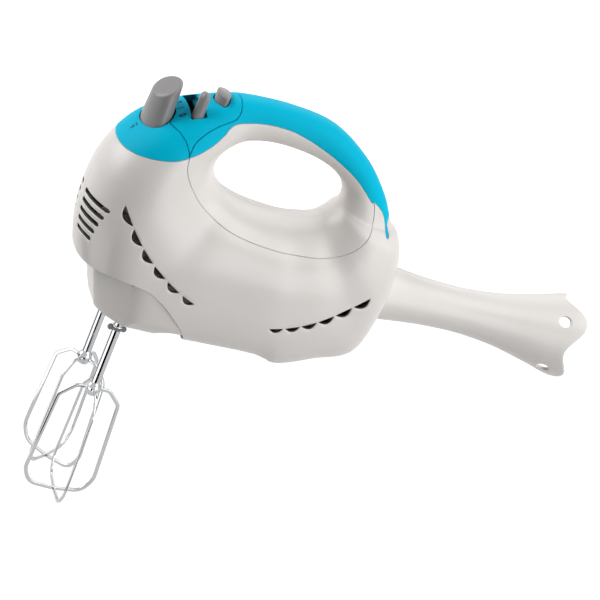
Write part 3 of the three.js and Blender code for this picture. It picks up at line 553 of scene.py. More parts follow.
@dataclass
class Skin:
    """The outer skin as something to trace lines on and drop points onto."""

    form: MouldedForm
    points: np.ndarray = field(init=False)
    out: np.ndarray = field(init=False)
    tree: BVHTree = field(init=False)

    def __post_init__(self) -> None:
        """Keeps the grid, its normals and a search tree."""
        self.points = self.form.grid()
        self.out = self.form.normals(self.points)
        solid = self.form.skin()
        self.tree = BVHTree.FromPolygons([Vector(p) for p in solid.points()], solid.faces())

    def traced(self, line: np.ndarray) -> list[tuple[np.ndarray, np.ndarray]]:
        """Where a side-view line, seen through the whole width, meets the skin.

        Args:
            line: Points of the line, x and z.

        Returns:
            The points and normals of each run on the skin.
        """
        away, share = signed_distance(self.points[..., [0, 2]], line)
        rings, girth = away.shape
        cross: dict[tuple[int, int, int], tuple[np.ndarray, np.ndarray]] = {}
        near = np.abs(away) < TRACE_REACH
        for axis in (0, 1):
            other = np.roll(away, -1, axis)
            hit = (away * other < 0) & near & np.roll(near, -1, axis)
            for i, j in np.argwhere(hit):
                k, m = ((i + 1) % rings, j) if axis == 0 else (i, (j + 1) % girth)
                t = away[i, j] / (away[i, j] - away[k, m])
                along = share[i, j] * (1 - t) + share[k, m] * t
                if not 0.0 < along < 1.0:
                    continue
                place = self.points[i, j] * (1 - t) + self.points[k, m] * t
                out = self.out[i, j] * (1 - t) + self.out[k, m] * t
                cross[(axis, int(i), int(j))] = (place, out / np.linalg.norm(out))
        links: dict[tuple[int, int, int], list[tuple[int, int, int]]] = {key: [] for key in cross}
        cells = {(i, j) for _, i, j in cross}
        cells |= {(i, (j - 1) % girth) for a, i, j in cross if a == 0}
        cells |= {((i - 1) % rings, j) for a, i, j in cross if a == 1}
        for i, j in cells:
            edges = [(0, i, j), (0, i, (j + 1) % girth), (1, i, j), (1, (i + 1) % rings, j)]
            found = [e for e in edges if e in cross]
            if len(found) == 2:
                links[found[0]].append(found[1])
                links[found[1]].append(found[0])
        return [run for run in chained(cross, links) if len(run[0]) > FEWEST_POINTS]

    def dropped(self, origin: Sequence[float], ray: Sequence[float]) -> tuple[np.ndarray, np.ndarray]:
        """Where a ray first meets the skin, or else the place nearest its start.

        Args:
            origin: Where the ray starts.
            ray: Its direction.

        Returns:
            The point and the outward normal.
        """
        place, normal, _, _ = self.tree.ray_cast(Vector(origin), Vector(ray))
        if place is None:
            place, normal, _, _ = self.tree.find_nearest(Vector(origin))
        near = self.out[tuple(self.closest(np.array(place)))]
        return np.array(place), near if np.dot(near, np.array(normal)) > 0 else np.array(normal)

    def closest(self, place: np.ndarray) -> tuple[int, int]:
        """The grid point nearest a place.

        Args:
            place: The place.

        Returns:
            Its ring, and its number on the ring.
        """
        away = np.sum((self.points - place) ** 2, axis=-1)
        i, j = np.unravel_index(np.argmin(away), away.shape)
        return int(i), int(j)


def signed_distance(points: np.ndarray, line: np.ndarray) -> tuple[np.ndarray, np.ndarray]:
    """Distances from a line in side view.

    Args:
        points: The points, in an array of any shape.
        line: The line's points.

    Returns:
        The distances, positive on its left, and how far along it each nearest place is.
    """
    shape = points.shape[:-1]
    flat = points.reshape(-1, 2)
    best = np.full(len(flat), 1e9)
    sign, share = np.ones(len(flat)), np.zeros(len(flat))
    steps = len(line) - 1
    for k in range(steps):
        a, d = line[k], line[k + 1] - line[k]
        t = ((flat - a) @ d) / (d @ d)
        held = np.clip(t, 0, 1)
        gap = flat - a - held[:, None] * d
        away = np.hypot(gap[:, 0], gap[:, 1])
        nearer = away < best - 1e-9
        best = np.where(nearer, away, best)
        side = np.sign(d[0] * (flat[:, 1] - a[1]) - d[1] * (flat[:, 0] - a[0]))
        sign = np.where(nearer, side, sign)
        low = -1.0 if k == 0 else 0.0
        high = 101.0 if k == steps - 1 else 1.0
        share = np.where(nearer, (k + np.clip(t, low, high)) / steps, share)
    return (best * sign).reshape(shape), share.reshape(shape)


def chained(cross: dict, links: dict) -> list[tuple[np.ndarray, np.ndarray]]:
    """Puts crossings in order, run by run.

    Args:
        cross: The point and the normal of each.
        links: The crossings that share a cell with each.

    Returns:
        The points and the normals of each run.
    """
    left, runs = set(cross), []
    starts = [k for k in cross if len(links[k]) == 1] + list(cross)
    for start in starts:
        if start not in left:
            continue
        run, here = [start], start
        left.discard(start)
        while True:
            ahead = [k for k in links[here] if k in left]
            if not ahead:
                break
            here = ahead[0]
            left.discard(here)
            run.append(here)
        runs.append((np.array([cross[k][0] for k in run]), np.array([cross[k][1] for k in run])))
    return runs


def respaced(points: np.ndarray, step: float, *others: np.ndarray) -> list[np.ndarray]:
    """A run of points at even steps.

    Args:
        points: The run.
        step: About how long a step is.
        *others: What goes with the points.

    Returns:
        The new points, then each of the others.
    """
    length = np.concatenate([[0], np.cumsum(np.linalg.norm(np.diff(points, axis=0), axis=1))])
    count = max(4, int(round(length[-1] / step)) + 1)
    at = np.linspace(0, length[-1], count)
    made = []
    for values in (points, *others):
        made.append(np.column_stack([np.interp(at, length, values[:, k]) for k in range(values.shape[1])]))
    return made


def groove(points: np.ndarray, out: np.ndarray, half: float = 0.15, radius: float = 0.42) -> Solid:
    """A tool that rounds the two lips of a seam.

    Args:
        points: The seam's run on the skin.
        out: The skin's normals along it.
        half: Half the seam's width.
        radius: The lips' radius.

    Returns:
        The tool, whose section is a slot with flared lips.
    """
    points, out = respaced(points, GROOVE_STEP, out)
    kernel = np.array([0.25, 0.5, 0.25])
    for _ in range(3):
        middle = [np.convolve(points[:, k], kernel, "valid") for k in range(3)]
        points[1:-1] = np.column_stack(middle)
    out /= np.linalg.norm(out, axis=1)[:, None]
    along = np.gradient(points, axis=0)
    along /= np.linalg.norm(along, axis=1)[:, None]
    side = np.cross(along, out)
    side /= np.linalg.norm(side, axis=1)[:, None]
    bends = np.radians([70, 40, 12])
    flank = [(half + radius * (1 - math.cos(b)), radius * (math.sin(b) - 1)) for b in bends]
    right = [(flank[0][0] + 0.35, 0.6), *flank, (half * 0.9, -radius - 0.25)]
    profile = right + [(-a, b) for a, b in reversed(right)]
    ends = np.concatenate([points[:1] - along[:1] * 0.4, points, points[-1:] + along[-1:] * 0.4])
    side = np.concatenate([side[:1], side, side[-1:]])
    out = np.concatenate([out[:1], out, out[-1:]])
    rings = [np.array([p + a * s + b * n for a, b in profile]) for p, s, n in zip(ends, side, out)]
    return facing_out(stack(rings))


def facing_out(solid: Solid) -> Solid:
    """Turns the faces of a closed solid outwards.

    Args:
        solid: The solid.

    Returns:
        The same solid.
    """
    points = solid.points()
    volume = 0.0
    for face in solid.faces():
        a = points[face[0]]
        for i in range(1, len(face) - 1):
            volume += float(np.dot(a, np.cross(points[face[i]], points[face[i + 1]])))
    if volume < 0:
        solid.mesh.flip_normals()
    return solid


# ------------------------ finishes


def linear(code: str) -> tuple[float, float, float, float]:
    """A colour in linear light.

    Args:
        code: Its sRGB hex value.

    Returns:
        Red, green, blue and a full alpha.
    """
    values = [int(code[i : i + 2], 16) / 255 for i in (1, 3, 5)]
    made = [v / 12.92 if v <= 0.04045 else ((v + 0.055) / 1.055) ** 2.4 for v in values]
    return made[0], made[1], made[2], 1.0


def node(tree: Any, kind: str, inputs: dict[Any, Any] | None = None, **settings: Any) -> Any:
    """Adds a node with its settings and links.

    Args:
        tree: The node tree.
        kind: The node's type.
        inputs: Values or output sockets for its inputs.
        **settings: Its own properties.

    Returns:
        The node.
    """
    made = tree.nodes.new(kind)
    for key, value in settings.items():
        setattr(made, key, value)
    for key, value in (inputs or {}).items():
        if isinstance(value, bpy.types.NodeSocket):
            tree.links.new(value, made.inputs[key])
        else:
            made.inputs[key].default_value = value
    return made


@dataclass(frozen=True)
class Finish:
    """A surface: what it is made of, how it was made, and how fine its texture is."""

    name: str
    slot: str
    colour: str
    shade: str
    roughness: float
    spread: float = 0.06
    metallic: float = 0.0
    ior: float = 1.5
    specular: float = 0.5
    coat: float = 0.0
    grain_mm: float = 0.6
    grain_depth_mm: float = 0.01
    cloud_mm: float = 40.0
    stretch: tuple[float, float, float] = (1.0, 1.0, 1.0)
    bands_mm: float = 0.0

    def material(self) -> bpy.types.Material:
        """The finish as a material.

        Returns:
            The material, made once and then found again.
        """
        known = bpy.data.materials.get(self.name)
        if known and known.get("own"):
            return known
        made = bpy.data.materials.new(self.name)
        made["own"] = True
        add = partial(node, cleared(made))
        place = add("ShaderNodeTexCoord").outputs["Object"]
        drawn = add("ShaderNodeMapping", {"Vector": place, "Scale": self.stretch}).outputs[0]
        coarse, fine = 1 / (self.cloud_mm * MM), 1 / (self.grain_mm * MM)
        cloud = add("ShaderNodeTexNoise", {"Vector": place, "Scale": coarse, "Detail": 3.0})
        grain = add("ShaderNodeTexNoise", {"Vector": drawn, "Scale": fine, "Detail": 4.0})
        colour = add(
            "ShaderNodeMix",
            {"Factor": cloud.outputs[0], 6: linear(self.colour), 7: linear(self.shade)},
            data_type="RGBA",
        )
        height = grain.outputs[0]
        if self.bands_mm:
            wave = add(
                "ShaderNodeTexWave",
                {"Vector": place, "Scale": 0.05 / (self.bands_mm * MM), "Distortion": 0.6},
                bands_direction="X",
            )
            height = wave.outputs[1]
        rough = add(
            "ShaderNodeMapRange",
            {
                "Value": grain.outputs[0], "From Min": 0.3, "From Max": 0.7,
                "To Min": max(0.02, self.roughness - self.spread / 2),
                "To Max": self.roughness + self.spread / 2,
            },
        )
        bump = add(
            "ShaderNodeBump",
            {"Height": height, "Strength": 0.5, "Distance": self.grain_depth_mm * MM},
        )
        shader = add(
            "ShaderNodeBsdfPrincipled",
            {
                "Base Color": colour.outputs[2], "Roughness": rough.outputs[0], "Normal": bump.outputs[0],
                "Metallic": self.metallic, "IOR": self.ior, "Specular IOR Level": self.specular,
                "Coat Weight": self.coat, "Coat Roughness": 0.12,
            },
        )
        add("ShaderNodeOutputMaterial", {"Surface": shader.outputs[0]})
        return made


# Gloss ABS from a polished tool: smooth, with a faint unevenness that softens its highlights.
SHELL_WHITE = Finish("gloss_abs_white", "shell_white", "#E8E4E0", "#E3DEDA", 0.34, coat=0.1)
# Painted shade: the inside of the shells, matt off the tool's unpolished core, coloured dark grey to stand
# for the shade inside, so that vents and openings look dark.
SHELL_PAINTED_SHADE = Finish("painted_shade_abs_inside", "shell_white", "#5C5A57", "#4E4C49", 0.7, grain_depth_mm=0.03)
# The same ABS dyed through in cyan, satin where the hand holds it.
COVER_BLUE = Finish("satin_abs_blue", "cover_blue", "#00C6E8", "#00C0E3", 0.48, specular=0.05)
# Painted shade: the inside of the blue covers, matt off the unpolished core, coloured as a dark shaded copy
# of the cyan.
COVER_PAINTED_SHADE = Finish("painted_shade_abs_blue", "cover_blue", "#006E84", "#00647A", 0.7, specular=0.1)
# Grey ABS of the controls, from a finely spark-eroded tool.
CONTROL_GREY = Finish("eroded_abs_grey", "control_grey", "#8B8989", "#828080", 0.38, grain_depth_mm=0.02)
# Bright nickel and chrome plate on drawn wire, with faint draw lines along it.
CHROME = Finish(
    "chrome_plate", "beater_chrome", "#BABBBD", "#B4B5B7", 0.07, 0.04, 1.0, grain_mm=0.8,
    grain_depth_mm=0.004, stretch=(1.0, 1.0, 0.15),
)
# Turned steel, with tool marks round it.
STEEL = Finish("turned_steel", "steel", "#A7A9AC", "#9A9CA0", 0.3, 0.1, 1.0, grain_depth_mm=0.01)
# Varnished copper wire, laid side by side.
COPPER = Finish("enamelled_copper", "winding_copper", "#B8693A", "#A45A2E", 0.35, 0.1, 1.0, bands_mm=0.8)
# Oil-filled bronze pressed from powder, with open pores.
BRONZE = Finish("sintered_bronze", "bearing_bronze", "#A9824C", "#8F6C3C", 0.5, 0.2, 1.0, grain_depth_mm=0.03)
# Natural nylon, slightly yellow and dull.
NYLON = Finish("natural_nylon", "gear_nylon", "#ECE7DA", "#E2DCCB", 0.5, 0.1)
# Pressed carbon, matt and crumbly at the edges.
CARBON = Finish("pressed_carbon", "carbon_black", "#2B2B2D", "#1F1F21", 0.75, 0.15, grain_depth_mm=0.03)
# Black phenolic of the switches.
PHENOLIC = Finish("black_phenolic", "switch_black", "#29292B", "#222224", 0.45, 0.1)
# Soft black PVC of the cord gland.
RUBBER = Finish("soft_black_pvc", "gland_rubber", "#37393C", "#2F3134", 0.65, 0.1, grain_depth_mm=0.03)
# Dark pad-printed ink on the control panel.
INK = Finish("printed_ink", "control_grey", "#062F3E", "#052A38", 0.5, specular=0.1)
# The same ink worn thin, so that the blue shows through it.
WORN_INK = Finish("worn_ink", "control_grey", "#0B7F99", "#09778F", 0.5, specular=0.1)

BY_SLOT = {f.slot: f for f in (STEEL, COPPER, BRONZE, NYLON, CARBON, PHENOLIC, RUBBER)}


@dataclass
class Workshop:
    """Turns solids into finished pieces that ride on the frame."""

    count: int = 0

    def piece(
        self,
        name: str,
        solid: Solid,
        finish: Finish,
        body: str,
        stands_for: Sequence[str],
        painted_shade: tuple[Finish, Rule] | None = None,
    ) -> bpy.types.Object:
        """Finishes one piece.

        Args:
            name: The piece's name.
            solid: Its shape, in millimetres in the motor's frame.
            finish: What shows.
            body: The body of the frame that it rides on.
            stands_for: The nodes of the frame that it replaces.
            painted_shade: A darker second finish, painted as shade, and a test of face centres that picks
                where it goes.

        Returns:
            The finished object.
        """
        mesh = solid.mesh.copy()
        mesh.name = name
        mesh.transform(Matrix.Scale(MM, 4) @ Matrix.Translation((0, 0, MOTOR_HEIGHT)))
        mesh.materials.clear()
        mesh.materials.append(finish.material())
        faces = len(mesh.polygons)
        # Painted shade: the faces that the test picks take the darker second finish.
        if painted_shade:
            mesh.materials.append(painted_shade[0].material())
            centres = np.zeros(faces * 3)
            mesh.polygons.foreach_get("center", centres)
            inside = painted_shade[1](centres.reshape(-1, 3) / MM - [0, 0, MOTOR_HEIGHT])
            mesh.polygons.foreach_set("material_index", inside.astype(np.int32))
        else:
            mesh.polygons.foreach_set("material_index", np.zeros(faces, np.int32))
        mesh.polygons.foreach_set("use_smooth", np.ones(faces, bool))
        mesh.set_sharp_from_angle(angle=SHARP)
        mesh.update()
        made = placed(name, mesh)
        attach(made, body)
        if stands_for:
            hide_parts(*stands_for)
        self.count += 1
        log.info("%s: %d faces", name, faces)
        return made


# ------------------------ the moulded body


@dataclass(frozen=True)
class PanelLayout:
    """Places and sizes of the three controls, shared by the covers and the pieces in them."""

    gap: float = 0.6
    eject: tuple[float, float] = (-19.4, -0.6)
    eject_size: tuple[float, float] = (7.6, 13.0)
    eject_base: tuple[float, float] = (8.2, 15.6)
    eject_shoulder: float = 76.0
    eject_foot: float = 66.0
    eject_top: float = 97.3
    eject_slope: float = 0.78
    eject_wall: float = 1.8
    eject_rim: float = 1.8
    eject_roof: float = 8.5
    eject_rib: tuple[float, float] = (3.0, 11.5)
    lever: tuple[float, float] = (0.2, -13.5)
    lever_size: tuple[float, float] = (5.8, 8.0)
    lever_spread: float = 1.26
    lever_foot: float = 80.3
    lever_top: float = 103.8
    carriage: tuple[float, float] = (6.0, 4.0)
    carriage_height: float = 2.7
    slot_x: tuple[float, float] = (-4.0, 4.4)
    slot_y: tuple[float, float] = (-17.7, 17.7)
    well_foot: float = 85.0
    well_wall: float = 1.6
    turbo: tuple[float, float] = (15.0, -1.0)
    turbo_length: float = 21.5
    turbo_width: float = 8.2
    turbo_top: float = 103.8
    turbo_camber: float = 24.0
    turbo_crown: float = 22.0
    turbo_rim: float = 1.1
    turbo_foot: float = 84.8

    def holes(self) -> list[np.ndarray]:
        """The windows in the covers, in plan.

        Returns:
            The outlines of the oval, the slot and the leaf, anticlockwise.
        """
        oval = ellipse(self.eject, [v + self.gap for v in self.eject_base], 72)
        slot = rounded_box(self.slot_x, self.slot_y, 0.7)
        leaf = leaf_outline(self.turbo, self.turbo_length, self.turbo_width, self.gap)
        return [oval, slot, leaf]


@dataclass(frozen=True)
class Vents:
    """One row of half-moon vents, from its first round a bend to its last."""

    first: tuple[float, float]
    bend: tuple[float, float]
    last: tuple[float, float]
    chord: tuple[float, float]
    depth: tuple[float, float]
    count: int = 6

    def outlines(self) -> list[np.ndarray]:
        """The outline of each vent in side view.

        Returns:
            The outlines, anticlockwise.
        """
        a, b, c = (np.array(p, float) for p in (self.first, self.bend, self.last))
        made = []
        for i in range(self.count):
            t = i / (self.count - 1)
            middle = (1 - t) ** 2 * a + 2 * t * (1 - t) * b + t * t * c
            along = 2 * (1 - t) * (b - a) + 2 * t * (c - b)
            along /= np.linalg.norm(along)
            half = along * (self.chord[0] + (self.chord[1] - self.chord[0]) * t) / 2
            depth = self.depth[0] + (self.depth[1] - self.depth[0]) * t
            bulge = middle + 2 * depth * np.array([along[1], -along[0]])
            share = np.linspace(0, 1, 13)[:, None]
            start, end = middle + half, middle - half
            arc = (1 - share) ** 2 * start + 2 * share * (1 - share) * bulge + share**2 * end
            straight = np.linspace(end, start, 9)[1:-1]
            made.append(np.concatenate([arc, straight]))
        return made


def flared_tool(outline: np.ndarray, surface: Surface, lip: float, deep: float) -> Solid:
    """A tool that cuts a hole with rounded lips through the skin.

    Args:
        outline: The hole's edge in its own plane.
        surface: Gives the skin's point and normal for a point of that plane.
        lip: The radius of the lip.
        deep: How far the tool goes in.

    Returns:
        The tool.
    """
    centre = outline.mean(0)
    along = np.roll(outline, -1, 0) - np.roll(outline, 1, 0)
    out = np.column_stack([along[:, 1], -along[:, 0]])
    out /= np.linalg.norm(out, axis=1)[:, None]
    if np.mean(np.sum(out * (outline - centre), axis=1)) < 0:
        out = -out
    rings = []
    # Each ring's reach and height in lips, but the first one's height in millimetres.
    levels = [(0.96, 0.8), (0.96, 0.02), (0.45, -0.25), (0.1, -0.65), (0.0, -1.0)]
    for spread, height in levels:
        ring = []
        for p, o in zip(outline, out):
            place, normal = surface(p + o * lip * spread)
            ring.append(place + normal * (height * lip if height < 0.5 else height))
        rings.append(np.array(ring))
    middle, normal = surface(centre)
    rings.append(rings[-1] - normal * deep)
    return facing_out(stack(rings))


@dataclass
class MouldedBody:
    """The shells and covers that the loft is cut into."""

    form: MouldedForm
    skin: Skin
    shop: Workshop
    layout: PanelLayout = PanelLayout()
    cover_edge: tuple = (
        (-60, 53), (-37.4, 57.5), (-23, 60.9), (-9.6, 64.3), (-1.8, 67.8), (5.4, 71.9), (12.2, 77.5),
        (17.4, 83.4), (22, 90.2), (32, 93), (44.4, 95), (58, 95), (70, 92.8), (86.5, 87.6), (102, 81),
        (115, 73.8), (127.8, 63.7),
    )
    tail_edge: tuple = (
        (129.6, 64.6), (133.5, 62.4), (137.2, 59.6), (140.4, 55.6), (142, 51.9), (142.5, 48.6), (142.9, 47),
        (143.8, 46.3), (144.8, 47.1), (145, 48.7), (144.3, 50.6), (143.7, 52.6), (144.2, 54.8), (146.5, 56.6),
        (150, 57.4), (159, 57.6),
    )
    nose_seam: tuple = (
        (-1.7, 66), (-1.9, 69), (-3.8, 73), (-6.7, 76.6), (-10.5, 79.2), (-15, 80.2), (-18.5, 83),
        (-18.5, 95),
    )
    wing_seam: tuple = ((-1.9, 68.6), (-0.7, 75.1), (2.2, 79.6), (8.3, 85.2), (16, 89.8), (22.5, 93.4))
    panel_seam: tuple = ((22.4, 93.2), (24.2, 96.5), (25.3, 101), (26, 106))
    handle_seam: tuple = (
        (-1.7, 72), (-1.5, 68), (0, 60), (6.3, 50.6), (17.9, 39.2), (31, 31.3), (45.3, 26.6), (61.2, 24.2),
        (79.6, 23.2), (98.6, 24.4), (112.4, 27.6), (121.9, 34.7), (128.6, 43.9), (131.8, 50.6), (131.6, 57.2),
        (129.2, 64), (126, 70),
    )
    neck_edge: tuple = (
        (-60, -20), (-34.7, -18.1), (-24.5, -17), (-15.8, -17), (-4, -18.3), (4.7, -20.4), (14.8, -26.2),
        (23, -32.7), (31.3, -40.4), (38, -49), (42, -60),
    )
    front_vents: Vents = Vents((-24.9, 25), (-2.4, -5), (28.4, -18.2), (13, 9.8), (4.1, 3.3))
    rear_vents: Vents = Vents((90.5, -24.5), (116.5, -18.6), (140.4, 4.5), (9.2, 12), (2.9, 4.2))
    slot_count: int = 5
    slot_top: float = 21.5
    slot_pitch: float = 5.75
    slot_height: float = 2.8
    seam: float = 0.1
    blue_seam: float = 0.22
    split: float = 0.06
    cover_lip: float = 0.45
    neck_lip: float = 0.5
    handle_lip: float = 0.4
    blue_lip: float = 0.55
    vent_lip: tuple[float, float] = (0.5, 7.0)
    slot_lip: tuple[float, float] = (0.35, 9.0)
    window_lip: tuple[float, float] = (0.35, 3.0)
    window_span: tuple[float, float] = (60.0, 130.0)
    # Faces deeper than this under the outer skin take the painted shade.
    painted_shade_depth: float = 0.9
    rib: tuple = ((-60.0, -31.0), (-12.0, 34.0))
    rib_wall: float = 1.4
    slot_reach: tuple[float, float] = (4.5, 30.9)
    slot_draw_in: tuple[float, float] = (0.62, -1.68)
    outlet: float = 15.6
    outlet_span: tuple[float, float] = (140.0, 175.0)
    gland: tuple[float, float, float, float] = (141.0, -43.0, 22.0, 5.8)
    gland_reach: float = 12.0
    limits: tuple[float, float, float, float] = (-60, 180, -80, 140)

    def cover_line(self) -> np.ndarray:
        """The edge between the white shells and the blue covers."""
        return np.concatenate([smooth_line(self.cover_edge), smooth_line(self.tail_edge, 6)])

    def painted_shade(self) -> tuple[Finish, Rule]:
        """Painted shade on the unpolished inside, which is coloured dark.

        Returns:
            Its finish, and the test that finds it.
        """

        def inside(centres: np.ndarray) -> np.ndarray:
            """Whether each face centre lies deep under the outer skin."""
            depths = [self.skin.tree.find_nearest(Vector(c))[3] for c in centres]
            return np.array([d is not None and d > self.painted_shade_depth for d in depths], bool)

        return SHELL_PAINTED_SHADE, inside

    def side_surface(self, side: Side, place: np.ndarray) -> tuple[np.ndarray, np.ndarray]:
        """The skin seen from one side, as a function of x and z."""
        return self.skin.dropped((place[0], side.value * RAY_START, place[1]), (0, -side.value, 0))

    def front_surface(self, place: np.ndarray) -> tuple[np.ndarray, np.ndarray]:
        """The skin seen from the nose, as a function of y and z."""
        return self.skin.dropped((-RAY_START, place[0], place[1]), (1, 0, 0))

    def vent_tools(self, side: Side) -> list[Solid]:
        """The tools for the half-moon vents and the nose slots.

        Args:
            side: The half that they are in.

        Returns:
            The tools.
        """
        tools = []
        surface = partial(self.side_surface, side)
        for outline in self.front_vents.outlines() + self.rear_vents.outlines():
            tools.append(flared_tool(outline, surface, *self.vent_lip))
        for i in range(self.slot_count):
            tools.append(flared_tool(self.slot_outline(side, i), self.front_surface, *self.slot_lip))
        return tools

    def slot_outline(self, side: Side, number: int) -> np.ndarray:
        """The edge of one nose slot, seen from the front.

        Args:
            side: The half that it is in.
            number: Its place in the row, from the top.

        Returns:
            The outline, y and z.
        """
        reach = [v + number * step for v, step in zip(self.slot_reach, self.slot_draw_in)]
        low, high = sorted(side.value * v for v in reach)
        middle = self.slot_top - number * self.slot_pitch
        radius = self.slot_height / 2
        turn = np.radians(np.arange(-75, 76, 30))
        right = np.column_stack([high - radius + radius * np.cos(turn), middle + radius * np.sin(turn)])
        left = np.column_stack([low + radius - radius * np.cos(turn), middle - radius * np.sin(turn)])
        span = np.linspace(high - radius, low + radius, 14)[:, None]
        top, bottom = level(span, middle + radius), level(span[::-1], middle - radius)
        return np.concatenate([right, top, left, bottom])

    def seam_tools(self, line: np.ndarray, **sizes: float) -> list[Solid]:
        """The tools that round the lips of a seam on the skin."""
        return [groove(points, out, **sizes) for points, out in self.skin.traced(line)]

    def build(self) -> None:
        """Cuts the loft into the shells and covers and finishes each."""
        outer = self.form.skin()
        inner = self.form.core(WALL)
        cover_line = self.cover_line()
        handle_line = smooth_line(self.handle_seam)
        neck_line = smooth_line(self.neck_edge)
        front, rear, low, high = self.limits
        above = [(rear, self.tail_edge[-1][1]), (rear, high), (front, high)]
        above = prism(np.concatenate([cover_line, above]))
        below = prism(np.concatenate([neck_line, [(front, low)]]))
        shell = outer.minus(inner)
        log.info("shell: %d faces", len(shell.mesh.polygons))
        half = self.seam / 2
        edges = self.seam_tools(cover_line, half=half, radius=self.cover_lip)
        log.info("cover seam: %d runs", len(edges))
        shell = shell.minus(*edges)
        covers = shell.within(above).minus(slit(cover_line, self.seam))
        white = shell.minus(above).minus(slit(cover_line, self.seam))
        white = white.minus(*self.seam_tools(neck_line, half=0.0, radius=self.neck_lip), below)
        handle = self.seam_tools(handle_line, half=half, radius=self.handle_lip)
        white = white.minus(*handle, slit(handle_line, self.seam))
        self.white_pieces(white)
        self.blue_pieces(covers)

    def white_pieces(self, white: Solid) -> None:
        """Finishes the housing and the inner handle, half by half.

        Args:
            white: The shell below the covers.
        """
        start, end = self.outlet_span
        bore = turned_solid([(0, start), (self.outlet, start), (self.outlet, end), (0, end)], 64)
        for side in Side:
            y = sorted((side.value * self.split / 2, side.value * HALF_SPACE))
            half = white.within(block((-100, 250), y, (-100, 150))).minus(bore, self.gland_tool())
            half = half.minus(*self.vent_tools(side))
            if side is Side.LEFT:
                half = half.plus(self.nose_rib())
            bodies = sorted(half.parts(), key=Solid.size, reverse=True)
            housing = min(bodies[:3], key=lambda b: b.box()[0][2])
            handle = max((b for b in bodies[:3] if b is not housing), key=Solid.size)
            tail = side.name.lower()
            for name, solid, stands_for in (
                (f"shell_{tail}", housing, f"housing_{tail}"),
                (f"inner_handle_{tail}", handle, f"handle_{tail}"),
            ):
                # Faces deep inside the shells take the painted shade.
                self.shop.piece(name, solid, SHELL_WHITE, "mixer_body", [stands_for], self.painted_shade())

    def nose_rib(self) -> Solid:
        """The rib on the centre plane behind the nose slots.

        Returns:
            The rib.
        """
        x, z = self.rib
        shape = block(x, (-self.split / 2 - self.rib_wall, -self.split / 2), z)
        return shape.within(self.form.core(WALL / 2))

    def gland_tool(self) -> Solid:
        """The hole for the cord gland.

        Returns:
            The tool.
        """
        x, z, lean, radius = self.gland
        reach = self.gland_reach
        hole = turned_solid([(0, -reach), (radius, -reach), (radius, reach), (0, reach)], 48)
        place = Matrix.Translation((x, 0, z)) @ Matrix.Rotation(math.radians(90 - lean), 4, "Y")
        return hole.turned(place)

    def blue_pieces(self, covers: Solid) -> None:
        """Finishes the nose cover, the control panel and the grip strip.

        Args:
            covers: The three in one.
        """
        for points in (self.nose_seam, self.wing_seam, self.panel_seam):
            line = smooth_line(points)
            tools = self.seam_tools(line, half=self.blue_seam / 2, radius=self.blue_lip)
            covers = covers.minus(*tools, slit(line, self.blue_seam))
        covers = covers.plus(self.lever_well()).minus(*self.control_tools())
        bodies = sorted(covers.parts(), key=Solid.size, reverse=True)[:4]
        nose = min(bodies, key=lambda b: b.box()[0][0])
        grip = max(bodies, key=lambda b: b.box()[1][0])
        rest = [b for b in bodies if b is not nose and b is not grip]
        panel = max(rest, key=Solid.size)
        # The covers' inside faces take a darker copy of the cyan as painted shade.
        painted_shade = COVER_PAINTED_SHADE, self.painted_shade()[1]
        for name, solid, stands_for in (
            ("nose_moulding", nose, "nose_cover"),
            ("panel_moulding", panel, "control_panel"),
            ("grip_moulding", grip, "grip_strip"),
        ):
            self.shop.piece(name, solid, COVER_BLUE, "mixer_body", [stands_for], painted_shade)

    def lever_well(self) -> Solid:
        """The walls that hang from the panel round the lever's slot.

        Returns:
            The walls.
        """
        c, wall = self.layout, self.layout.well_wall
        x = (c.slot_x[0] - wall, c.slot_x[1] + wall)
        y = (c.slot_y[0] - wall, c.slot_y[1] + wall)
        return block(x, y, (c.well_foot, self.window_span[1])).within(self.form.core(WALL / 2))

    def control_tools(self) -> list[Solid]:
        """The holes that the three controls come through, each with rounded lips.

        Returns:
            The tools.
        """
        tools = []
        for outline in self.layout.holes():
            tools.append(column(outline, *self.window_span))
            tools.append(flared_tool(outline, self.top_surface, *self.window_lip))
        return tools

    def top_surface(self, place: np.ndarray) -> tuple[np.ndarray, np.ndarray]:
        """The skin seen from above, as a function of x and y."""
        return self.skin.dropped((place[0], place[1], RAY_TOP), (0, 0, -1))


def rounded_box(x: Sequence[float], y: Sequence[float], radius: float, steps: int = 5) -> np.ndarray:
    """A rectangle with rounded corners.

    Args:
        x: Its limits along X.
        y: Its limits along Y.
        radius: The corners' radius.
        steps: Points on each corner.

    Returns:
        The outline, anticlockwise.
    """
    corners = [(x[1], y[1], 0), (x[0], y[1], 90), (x[0], y[0], 180), (x[1], y[0], 270)]
    points = []
    for cx, cy, start in corners:
        middle = (cx - math.copysign(radius, cx - sum(x) / 2), cy - math.copysign(radius, cy - sum(y) / 2))
        for turn in np.radians(start + np.linspace(0, 90, steps)):
            points.append((middle[0] + radius * math.cos(turn), middle[1] + radius * math.sin(turn)))
    return np.array(points)


def ellipse(centre: Sequence[float], radii: Sequence[float], count: int) -> np.ndarray:
    """Points round an ellipse, anticlockwise."""
    turn = np.arange(count) / count * 2 * np.pi
    return np.column_stack([centre[0] + radii[0] * np.cos(turn), centre[1] + radii[1] * np.sin(turn)])


